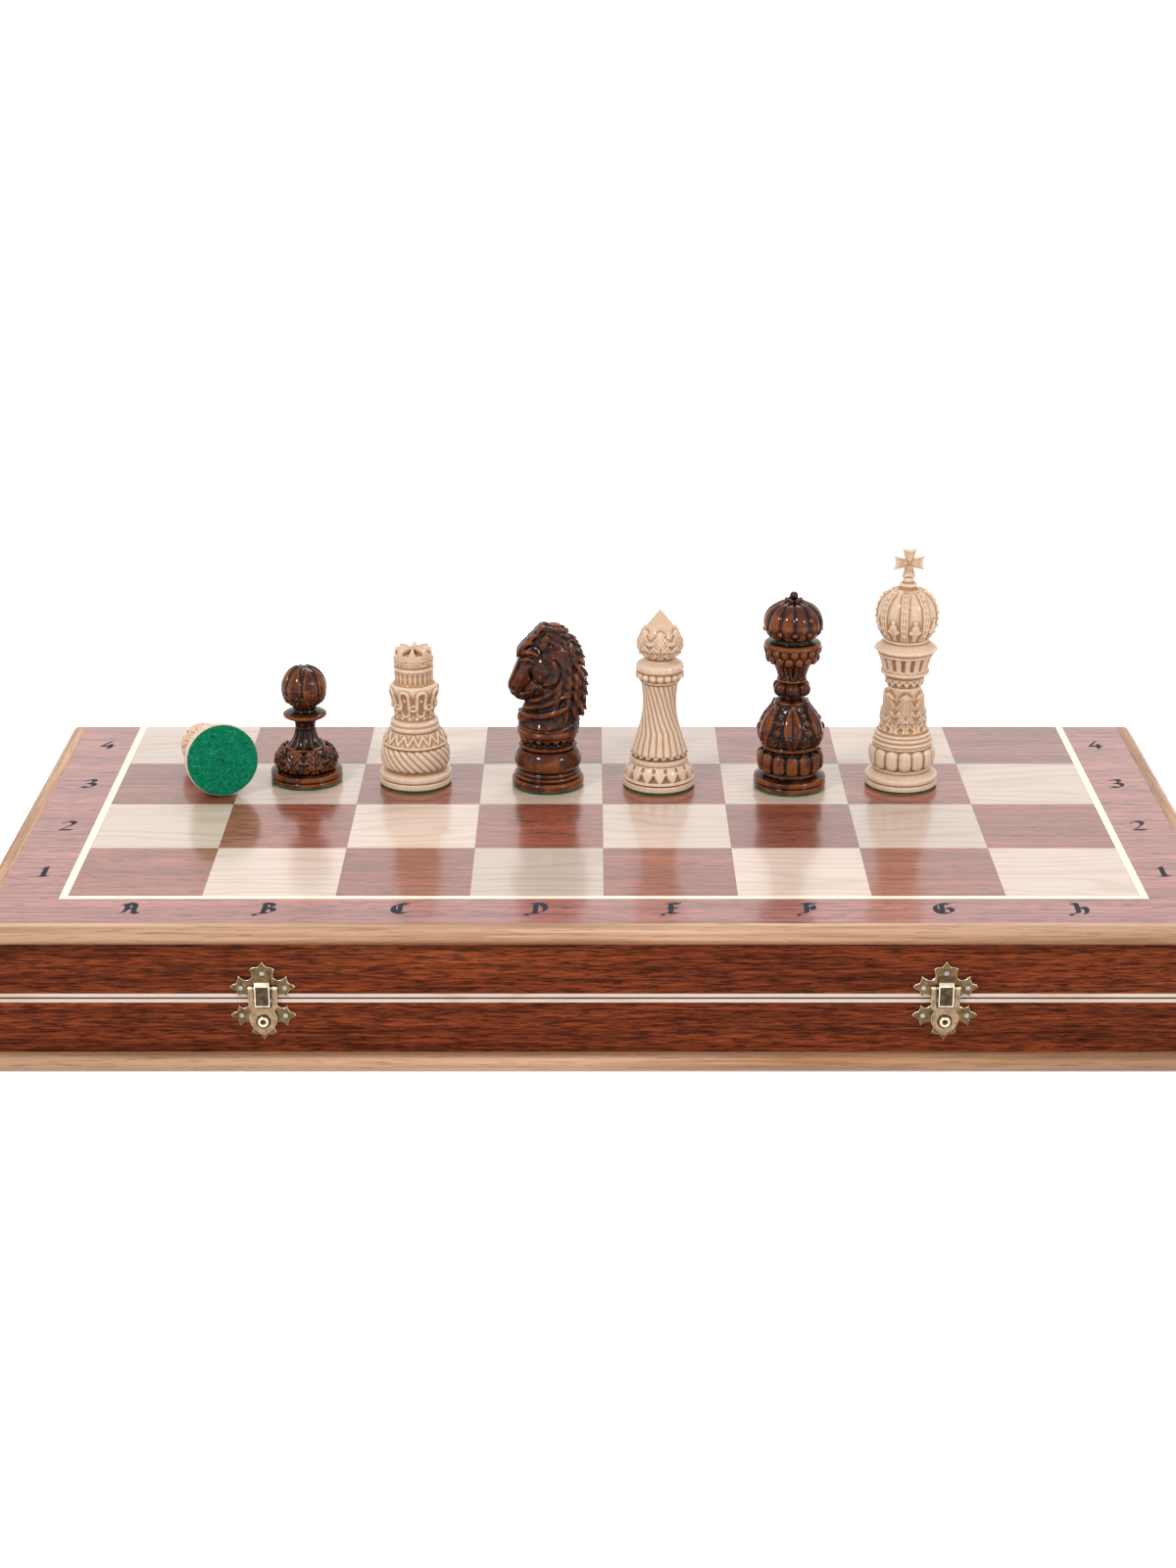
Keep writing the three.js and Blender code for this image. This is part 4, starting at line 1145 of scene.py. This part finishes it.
# ---- Coordinates: broad-nib capitals and numbers printed in the border, in millimetres ----
NIB = np.array([1.15, 0.95])
LETTER_WIDTH = 9
LETTER_HEIGHT = 14
FOOT_CURL = [(4.4, 2.2), (2.2, 2.6, 0.8, 1.2), (-0.6, -0.4, 1.4, -0.6)]
STEM = [(4.3, 12.0), (4.1, 2.6)]
ROUND_BACK = [(8.0, 12.0), (6.4, 11.4, 4.8, 12.6), (1.4, 11.6, 1.3, 7.2), (1.4, 2.2, 5.0, 1.6)]
STROKES = {
    "A": [[(1.0, 11.4), (3.6, 12.4, 3.4, 7.6), (3.2, 2.8, 1.0, 1.4)],
          [(3.0, 12.8), (6.0, 13.0, 6.6, 9.8), (6.6, 2.8), (8.4, 1.4)],
          [(3.6, 6.8), (6.4, 6.8)]],
    "B": [[(1.2, 10.8), (2.8, 13.4, 5.4, 12.6), (8.6, 11.8, 7.4, 9.2), (6.6, 7.8, 4.0, 7.6)],
          [(4.4, 7.6), (8.8, 7.4, 8.2, 4.4), (7.6, 1.8, 3.6, 1.6)],
          STEM, FOOT_CURL],
    "C": [[*ROUND_BACK, (7.2, 1.4, 8.4, 3.0)],
          STEM],
    "D": [[(1.2, 11.4), (4.0, 13.6, 6.4, 12.2), (8.8, 10.2, 8.4, 6.4), (7.8, 2.2, 3.6, 1.6)],
          STEM, FOOT_CURL],
    "E": [[(8.0, 12.0), (6.0, 13.0, 3.4, 12.4), (1.8, 12.4, 1.0, 11.0)],
          [(2.6, 7.4), (7.4, 7.6)],
          STEM,
          [(3.6, 1.6), (6.6, 1.0, 8.2, 2.8)],
          FOOT_CURL],
    "F": [[(8.6, 12.6), (6.4, 11.6, 4.6, 12.6), (2.4, 13.2, 1.2, 11.0)],
          [(4.6, 7.6), (6.6, 7.0, 7.8, 7.8)],
          [(7.2, 10.2), (7.2, 5.4)],
          STEM, FOOT_CURL],
    "G": [[*ROUND_BACK, (8.6, 1.8, 8.3, 5.4), (8.0, 7.4, 5.8, 7.2)],
          STEM],
    "H": [[(1.2, 11.6), (2.8, 13.2, 4.2, 11.8)],
          [(4.3, 7.4), (7.2, 9.0, 7.8, 6.4), (8.2, 2.6, 6.2, 0.2)],
          STEM, FOOT_CURL],
    "1": [[(2.6, 10.4), (4.6, 12.6), (4.6, 1.8)],
          [(2.8, 1.6), (6.6, 1.6)]],
    "2": [[(2.0, 10.2), (3.0, 13.2, 5.4, 12.6), (8.0, 11.4, 6.4, 8.2), (4.8, 5.2, 1.8, 1.8)],
          [(1.8, 1.6), (7.4, 1.6)]],
    "3": [[(2.0, 11.4), (7.4, 14.0, 6.8, 10.2), (6.4, 8.0, 4.0, 7.6)],
          [(4.0, 7.6), (8.4, 7.2, 7.2, 3.8), (6.0, 0.4, 1.8, 2.4)]],
    "4": [[(5.6, 12.6), (1.6, 4.8), (7.8, 4.8)],
          [(5.8, 8.0), (5.8, 1.4)]],
    "5": [[(7.0, 12.4), (2.8, 12.4), (2.6, 7.6)],
          [(2.6, 7.6), (8.6, 9.0, 7.2, 4.0), (5.6, 0.2, 1.8, 2.4)]],
    "6": [[(7.0, 12.2), (2.4, 11.4, 2.0, 5.4), (2.2, 1.4, 4.8, 1.4), (7.4, 1.6, 7.4, 4.6),
           (6.8, 8.0, 2.4, 6.6)]],
    "7": [[(1.8, 12.4), (7.4, 12.4), (4.6, 8.0, 3.8, 1.6)]],
    "8": [[(4.6, 7.4), (1.6, 9.4, 3.0, 11.8), (4.6, 13.4, 6.2, 11.8), (7.6, 9.4, 4.6, 7.4),
           (1.0, 5.0, 2.4, 2.4), (4.6, 0.2, 6.8, 2.4), (8.2, 5.0, 4.6, 7.4)]],
}
CURL_NIB = 0.8 * NIB
INK_PROUD = 0.02
LAYER_STEP = 0.001


def ink(name):
    """Black-blue ink, thinner where the wood's pores show through."""
    tree = Tree(name)
    cloud = tree.noise(tree.scaled(tree.place(), (300, 1500, 300)), 1.0, 4, 0.7)
    colour = tree.ramp(cloud, [(0.4, (0.008, 0.01, 0.018)), (0.62, (0.02, 0.022, 0.036)),
                               (0.75, (0.06, 0.04, 0.045))])
    return tree.finish(colour, 0.6, cloud, 0.05, Specular_IOR_Level=0.15)


INK = ink("printed ink")


def slab(points, quads, a, b, nib, layer):
    """A thin slab of ink for one step of a stroke: the nib's edge moved from a to b."""
    first = len(points)
    for z in (-INK_PROUD, INK_PROUD + LAYER_STEP * layer):
        points += [(*(a - nib), z), (*(a + nib), z), (*(b + nib), z), (*(b - nib), z)]
    quads += [tuple(first + i for i in face) for face in
              ((3, 2, 1, 0), (4, 5, 6, 7), (0, 1, 5, 4), (1, 2, 6, 5), (2, 3, 7, 6), (3, 0, 4, 7))]


def write_letter(points, quads, letter, matrix):
    """Adds one letter's slabs, placed by the matrix. Each stroke lies a little above the one before."""
    first = len(points)
    own_points, own_quads = [], []
    for layer, stroke in enumerate(STROKES[letter]):
        path = sample(stroke, 0.7)
        nib = CURL_NIB if stroke is FOOT_CURL else NIB
        for a, b in zip(path, path[1:]):
            slab(own_points, own_quads, a, b, nib, layer)
    middle = Vector((LETTER_WIDTH / 2, LETTER_HEIGHT / 2, 0))
    points += [tuple(matrix @ ((Vector(point) - middle) * MM)) for point in own_points]
    quads += [tuple(first + i for i in face) for face in own_quads]


# the file letters stand this much nearer the field than the border's middle
LETTERS_INWARD = 1.0 * MM


def print_coordinates(half):
    """Files along the front border and ranks at both sides. They face their own player."""
    points, quads = [], []
    border_y = (FIELD_FRONT_Y + panel_low.y) / 2 + LETTERS_INWARD
    border_x = (FIELD_X + panel_high.x) / 2
    if half == "upper":
        turn = Matrix.Identity(4)
        surface = TOP_Z
    else:
        turn = Matrix.Diagonal((-1, 1, -1, 1))
        surface = 0.0
    for i, letter in enumerate("ABCDEFGH"):
        middle = Vector((-FIELD_X + (i + 0.5) * SQUARE, border_y, surface))
        write_letter(points, quads, letter, Matrix.Translation(middle) @ turn)
    upright = turn if half == "upper" else Matrix.Diagonal((1, -1, -1, 1))
    for i in range(HALF_RANKS):
        rank = i + 1 if half == "upper" else 2 * HALF_RANKS - i
        for x in (-border_x, border_x):
            middle = Vector((x, FIELD_FRONT_Y + (i + 0.5) * SQUARE, surface))
            write_letter(points, quads, str(rank), Matrix.Translation(middle) @ upright)
    mesh = bpy.data.meshes.new(f"{half}_coordinates")
    mesh.from_pydata(points, [], quads)
    mesh.materials.append(INK)
    add_object(f"{half}_coordinates", mesh, f"{half}_half", "playing_face")


for half in ("upper", "lower"):
    print_coordinates(half)


# ---- Latches: stamped brass sheet with bevelled, worn edges, in millimetres from the latch's middle ----
PLATE_FOOT = 1.3
PLATE_TIP = 18.1
PLATE_OUTLINE = [
    (3, 1.3, 5.4, 1.3), (8.2, 4.6, 10.3, 2), (10.6, 4.2, 11.4, 4.9), (12.9, 5, 13.9, 6.5),
    (12.9, 8, 11.4, 8.1), (10.6, 8.8, 10.2, 11.6), (7, 8.2, 4.6, 10.8), (4.2, 12.4, 5.3, 14.6),
    (3.8, 16, 2, 15.6), (1.2, 16.2, 0, PLATE_TIP),
]
PLATE_THICKNESS = 0.9
WALL_GAP = 0.2
BAR_RISE = 6.6
BAR_DEPTH = 2.1
TONGUE_HALF = 3.25
TONGUE_FOOT = -1.3
TONGUE_FRAME_TOP = 8.6
TONGUE_OUT = BAR_DEPTH + 1.9
TONGUE_SHEET = 0.7
FRAME_WIDTH = 0.5
FRAME_THICKNESS = 0.3
FRAME_PROUD = 0.22
KNOB_DROP = 15.3
SHIELD_THICKNESS = 0.8
SHIELD_OUTLINE = [
    (6.1, -8.6), (6.0, -9.4, 4.6, -11.0), (6.6, -12.8, 5.7, -16.2), (4.6, -19.4, 0, -22.1),
    (-4.6, -19.4, -5.7, -16.2), (-6.6, -12.8, -4.6, -11.0), (-6.0, -9.4, -6.1, -8.6), (-6.1, 0.4),
    (-3.9, 0.4), (-3.9, -8.4), (-3.8, -9.0, -3.2, -9.0), (3.2, -9.0), (3.8, -9.0, 3.9, -8.4), (3.9, 0.4),
    (6.1, 0.4), (6.1, -8.6),
]
NAILS = {"keeper": [(-9.3, 6.2), (9.3, 6.2), (0, 12.8)], "catch": [(-9.4, 6.6), (9.3, 6.6)]}
FACE, WORN, SHADED = range(3)


def stamped(loops, thickness, bevel):
    """A sheet with the given outline, bevelled all round, lying in its own XY plane with its back at z = 0.
    Returns its points in millimetres, its faces, and each face's place in the list of brasses."""
    curve = bpy.data.curves.new("outline", "CURVE")
    curve.dimensions = "2D"
    curve.fill_mode = "BOTH"
    curve.extrude = thickness / 2 - bevel
    curve.bevel_depth = bevel
    curve.bevel_resolution = 2
    curve.offset = -bevel
    for loop in loops:
        path = sample(loop, 0.5)
        if np.allclose(path[0], path[-1]):
            path = path[:-1]
        spline = curve.splines.new("POLY")
        spline.points.add(len(path) - 1)
        flat = np.column_stack([path, np.zeros(len(path)), np.ones(len(path))])
        spline.points.foreach_set("co", flat.ravel())
        spline.use_cyclic_u = True
    holder = bpy.data.objects.new("outline", curve)
    bpy.context.collection.objects.link(holder)
    mesh = bpy.data.meshes.new_from_object(holder.evaluated_get(bpy.context.evaluated_depsgraph_get()))
    bpy.data.objects.remove(holder)
    work = bmesh.new()
    work.from_mesh(mesh)
    bmesh.ops.remove_doubles(work, verts=work.verts, dist=1e-4)
    bmesh.ops.recalc_face_normals(work, faces=work.faces)
    work.verts.ensure_lookup_table()
    points = np.array([vertex.co for vertex in work.verts]) + (0, 0, thickness / 2)
    faces = [[vertex.index for vertex in face.verts] for face in work.faces]
    looks = [WORN if abs(face.normal.z) < 0.95 else FACE for face in work.faces]
    work.free()
    return points, faces, looks


class Metalwork:
    """Gathers sheet and turned parts into one object. Each face's look is its place in the materials."""

    def __init__(self):
        self.points, self.faces, self.looks = [], [], []

    def add(self, points, faces, looks, matrix):
        first = len(self.points)
        self.points += [matrix @ (Vector(point) * MM) for point in points]
        self.faces += [[first + i for i in face] for face in faces]
        self.looks += looks

    def add_carving(self, carving, look, matrix):
        points = np.vstack(carving.points)
        faces = [*np.vstack(carving.quads).tolist(), *np.vstack(carving.triangles).tolist()]
        self.add(points, faces, [look] * len(faces), matrix)

    def add_turned(self, profile, reliefs, columns, step, look, matrix):
        part = Carving()
        part.turned(profile, reliefs, columns, step)
        self.add_carving(part, look, matrix)

    def finish(self, name, body, materials, slot, *replaced):
        mesh = bpy.data.meshes.new(name)
        mesh.from_pydata(self.points, [], self.faces)
        mesh.polygons.foreach_set("material_index", np.array(self.looks, int))
        mesh.polygons.foreach_set("use_smooth", np.array(self.looks, bool))
        for material in materials:
            mesh.materials.append(material)
        add_object(name, mesh, body, slot, *replaced)


def mirrored_loop(curves, start):
    """The curves up the right side, and the same ones back down the left side."""
    back = []
    for i in range(len(curves) - 1, -1, -1):
        end = curves[i - 1][2:] if i else start
        back.append((-curves[i][0], curves[i][1], -end[0], end[1]))
    return [start, *curves, *back]


def rectangle(half_width, low, high):
    return [(-half_width, low), (half_width, low), (half_width, high), (-half_width, high),
            (-half_width, low)]


def facing_front(x, y, z, turned_over=False):
    """Takes a sheet's own plane to the case's front, with its Y up and its Z towards the front."""
    up = -1 if turned_over else 1
    return Matrix(((up, 0, 0, x), (0, 0, -1, y), (0, up, 0, z), (0, 0, 0, 1)))


def nail_heads(places, body, name, matrix):
    """Small domed heads with hammered faces."""
    heads = Metalwork()
    for x, z in places:
        place = matrix @ Matrix.Translation(Vector((x, z, PLATE_THICKNESS)) * MM)
        heads.add_turned([(0, 0), (1.05, 0), (1.1, 0.2), (1.0, 0.42, 0.5, 0.5), (0, 0.52)],
                         [speckle(-1, 2, 0.5, 0.12, 7)], 28, 0.15, WORN, place)
    heads.finish(name, body, (STEEL, STEEL), "steel")


def add_plate(work, matrix):
    """The cross-shaped plate with pointed ends that keeper and catch share."""
    outline = mirrored_loop(PLATE_OUTLINE, (0, PLATE_FOOT))
    work.add(*stamped([outline], PLATE_THICKNESS, 0.42), matrix)


def tongue_look(corners):
    """Which brass a face of the keeper's tongue shows: worn on the bend at its top, shaded on its front."""
    if all(height > 7.4 and out > TONGUE_OUT - 0.9 for out, height, _ in corners):
        return WORN
    if all(out > TONGUE_OUT - 0.2 for out, _, _ in corners):
        return SHADED
    return FACE


def add_tongue(work, x, wall_y, middle_z, front):
    """The keeper's bent tongue, which the hasp's window passes over, with a raised frame on its front."""
    inside = TONGUE_OUT - TONGUE_SHEET
    bent = [(0.3, 11.4), (0.9, 11.6), (TONGUE_OUT - 0.5, 9.1), (TONGUE_OUT, 8.9, TONGUE_OUT, 8.2),
            (TONGUE_OUT, TONGUE_FOOT), (inside, TONGUE_FOOT), (inside, 7.6), (inside - 0.1, 8.2), (0.3, 10.6),
            (0.3, 11.4)]
    left = x - TONGUE_HALF * MM
    sideways = Matrix(((0, 0, 1, left), (-1, 0, 0, wall_y), (0, 1, 0, middle_z), (0, 0, 0, 1)))
    points, faces, _ = stamped([bent], 2 * TONGUE_HALF, 0.15)
    work.add(points, faces, [tongue_look([points[i] for i in face]) for face in faces], sideways)
    outer = rectangle(TONGUE_HALF, TONGUE_FOOT, TONGUE_FRAME_TOP)
    inner = rectangle(TONGUE_HALF - FRAME_WIDTH, TONGUE_FOOT + 0.55, TONGUE_FRAME_TOP - FRAME_WIDTH)
    points, faces, _ = stamped([outer, inner], FRAME_THICKNESS, 0.1)
    out = TONGUE_OUT + FRAME_PROUD - FRAME_THICKNESS
    work.add(points, faces, [WORN] * len(faces), Matrix.Translation((0, -out * MM, 0)) @ front)


def add_knob(work, matrix):
    """The hasp's knob: a shaded socket, a worn collar and a rivet in its middle."""
    socket = [(0, 0.2), (3.2, 0.2), (3.2, 0.5), (2.95, 0.6), (2.5, 0.44), (0, 0.44)]
    collar = [(0, 0.3), (2.45, 0.3), (2.45, 1.0), *arc(1.75, 1.1, 0.7, 0.85, 0, 165, 12), (0.95, 0.9),
              (0, 0.8)]
    rivet = [(0, 0.7), (0.95, 0.7), (0.95, 0.95), *arc(0, 0.95, 0.9, 0.55, 0, 90, 6)]
    work.add_turned(socket, [], 48, 0.3, SHADED, matrix)
    work.add_turned(collar, [], 48, 0.2, WORN, matrix)
    work.add_turned(rivet, [], 24, 0.2, SHADED, matrix)


def build_latch(side):
    keeper_low, keeper_high = (Vector(corner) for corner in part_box(f"latch_{side}_keeper"))
    x = (keeper_low.x + keeper_high.x) / 2
    wall_y = WALL_FACE_Y - WALL_GAP * MM
    middle_z = keeper_high.z - PLATE_TIP * MM
    front = facing_front(x, wall_y, middle_z)
    keeper = Metalwork()
    add_plate(keeper, front)
    add_tongue(keeper, x, wall_y, middle_z, front)
    keeper.finish(f"latch_{side}_keeper_brass", "upper_half", (BRASS, BRASS_WORN, BRASS_DARK), "brass",
                  f"latch_{side}_keeper")
    nail_heads(NAILS["keeper"], "upper_half", f"latch_{side}_keeper_nails", front)

    under = facing_front(x, wall_y, middle_z, turned_over=True)
    catch = Metalwork()
    add_plate(catch, under)
    catch.finish(f"latch_{side}_catch_brass", "lower_half", (BRASS, BRASS_WORN), "brass",
                 f"latch_{side}_catch")
    nail_heads(NAILS["catch"], "lower_half", f"latch_{side}_catch_nails", under)

    bar = facing_front(x, WALL_FACE_Y - BAR_DEPTH * MM, middle_z + BAR_RISE * MM)
    hasp = Metalwork()
    hasp.add(*stamped([SHIELD_OUTLINE], SHIELD_THICKNESS, 0.36),
             bar @ Matrix.Translation((0, 0, -SHIELD_THICKNESS / 2 * MM)))
    rods = Carving()
    rods.rod([(-5.9, 0, 0), (5.9, 0, 0)], (0.6, 0.6), 20)
    for near, far in ((-5.5, -4.5), (4.5, 5.5)):
        rods.rod([(near, 0, 0), (far, 0, 0)], (0.8, 0.8), 24)
    hasp.add_carving(rods, WORN, bar)
    add_knob(hasp, bar @ Matrix.Translation((0, -KNOB_DROP * MM, 0)))
    hasp.finish(f"latch_{side}_hasp_brass", f"hasp_{side}", (BRASS_LIGHT, BRASS_WORN, BRASS_DARK), "brass",
                f"latch_{side}_hasp")


# ---- Hinges: three slotted screw heads in each leaf ----
LEAF_INSET = 0.25 * MM
SCREW_PITCH = 13.3 * MM
SCREW_FROM_EDGE = 2.4 * MM


def slot_cut(r, z, phi):
    return -0.35 * smooth(0.32 - np.abs(r * np.sin(phi)), 0, 0.1) * smooth(z, 0.02, 0.1)


def hinge_screws(side, half):
    """The screw heads of one leaf, on the face that shows when the case is open."""
    low, high = (Vector(corner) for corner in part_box(f"hinge_{side}_leaf_{half}"))
    if half == "lower":
        leaf_face = SEAM_Z - LEAF_INSET
        turn = Matrix.Identity(4)
    else:
        leaf_face = SEAM_Z + LEAF_INSET
        turn = Matrix.Diagonal((1, -1, -1, 1))
    heads = Metalwork()
    for i in (-1, 0, 1):
        place = Vector(((low.x + high.x) / 2 + i * SCREW_PITCH, low.y + SCREW_FROM_EDGE, leaf_face))
        heads.add_turned([(0, -0.3), (1.5, -0.3), (1.5, 0.02), (1.35, 0.12), (0, 0.14)], [slot_cut], 40, 0.12,
                         WORN, Matrix.Translation(place) @ turn)
    heads.finish(f"hinge_{side}_screws_{half}", f"{half}_half", (STEEL, STEEL), "steel")


for side in ("left", "right"):
    build_latch(side)
    for half in ("upper", "lower"):
        hinge_screws(side, half)


# ---- Stage, light and camera ----
def build_stage():
    """A plain pale floor that reaches far past the view."""
    half_side = 14.0
    floor_mesh = bpy.data.meshes.new("floor")
    corners = [(x * half_side, y * half_side, 0) for x, y in ((-1, -1), (1, -1), (1, 1), (-1, 1))]
    floor_mesh.from_pydata(corners, [], [(0, 1, 2, 3)])
    floor = bpy.data.objects.new("floor", floor_mesh)
    bpy.context.collection.objects.link(floor)
    tree = Tree("floor")
    cloud = tree.noise(tree.place(), 3.0, 2)
    colour = tree.ramp(cloud, [(0.3, (0.9, 0.9, 0.9)), (0.7, (0.93, 0.93, 0.93))])
    glow = {"Emission_Color": (1, 1, 1, 1), "Emission_Strength": 0.22}
    set_material(floor, tree.finish(colour, 0.9, **glow))


def area_light(name, place, aim, size, power):
    light = bpy.data.lights.new(name, "AREA")
    light.shape = "RECTANGLE"
    light.size, light.size_y = size
    light.energy = power
    lamp = bpy.data.objects.new(name, light)
    lamp.location = place
    lamp.rotation_mode = "QUATERNION"
    lamp.rotation_quaternion = (Vector(aim) - Vector(place)).to_track_quat("-Z", "Y")
    bpy.context.collection.objects.link(lamp)


def build_light():
    """Soft studio light: a sky that is white at the horizon, and three small bright area lights."""
    world = bpy.data.worlds.new("studio")
    world.use_nodes = True
    tree = world.node_tree
    background = tree.nodes["Background"]
    direction = tree.nodes.new("ShaderNodeTexCoord")
    parts = tree.nodes.new("ShaderNodeSeparateXYZ")
    sky = tree.nodes.new("ShaderNodeValToRGB")
    low, high = sky.color_ramp.elements
    low.position, low.color = 0.33, (1, 1, 1, 1)
    high.position, high.color = 0.46, (0.85, 0.83, 0.84, 1)
    tree.links.new(direction.outputs["Generated"], parts.inputs[0])
    tree.links.new(parts.outputs["Z"], sky.inputs[0])
    tree.links.new(sky.outputs[0], background.inputs[0])
    bpy.context.scene.world = world
    area_light("key", (-0.9, -1.0, 1.4), (0, 0, 0.05), (0.3, 0.26), 15)
    area_light("fill", (1.2, -0.9, 0.9), (0, 0, 0.05), (0.26, 0.34), 7)
    area_light("back", (0.2, 1.1, 1.5), (0, 0, 0.05), (1.0, 0.5), 11)
    bpy.context.scene.view_settings.view_transform = "Standard"


LOOK_DOWN = math.radians(19.6)
# the camera's place in squares: left of the middle, in front of the field and above the playing face
CAMERA_LEFT, CAMERA_BEFORE, CAMERA_ABOVE = 0.118, 19.286, 7.754


def build_camera():
    data = bpy.data.cameras.new("camera")
    data.lens = 63.9
    data.sensor_width = 36
    camera = bpy.data.objects.new("camera", data)
    camera.location = (-CAMERA_LEFT * SQUARE, FIELD_FRONT_Y - CAMERA_BEFORE * SQUARE,
                       TOP_Z + CAMERA_ABOVE * SQUARE)
    camera.rotation_euler = (math.pi / 2 - LOOK_DOWN, 0, 0)
    bpy.context.collection.objects.link(camera)
    bpy.context.scene.camera = camera


build_stage()
build_light()
build_camera()
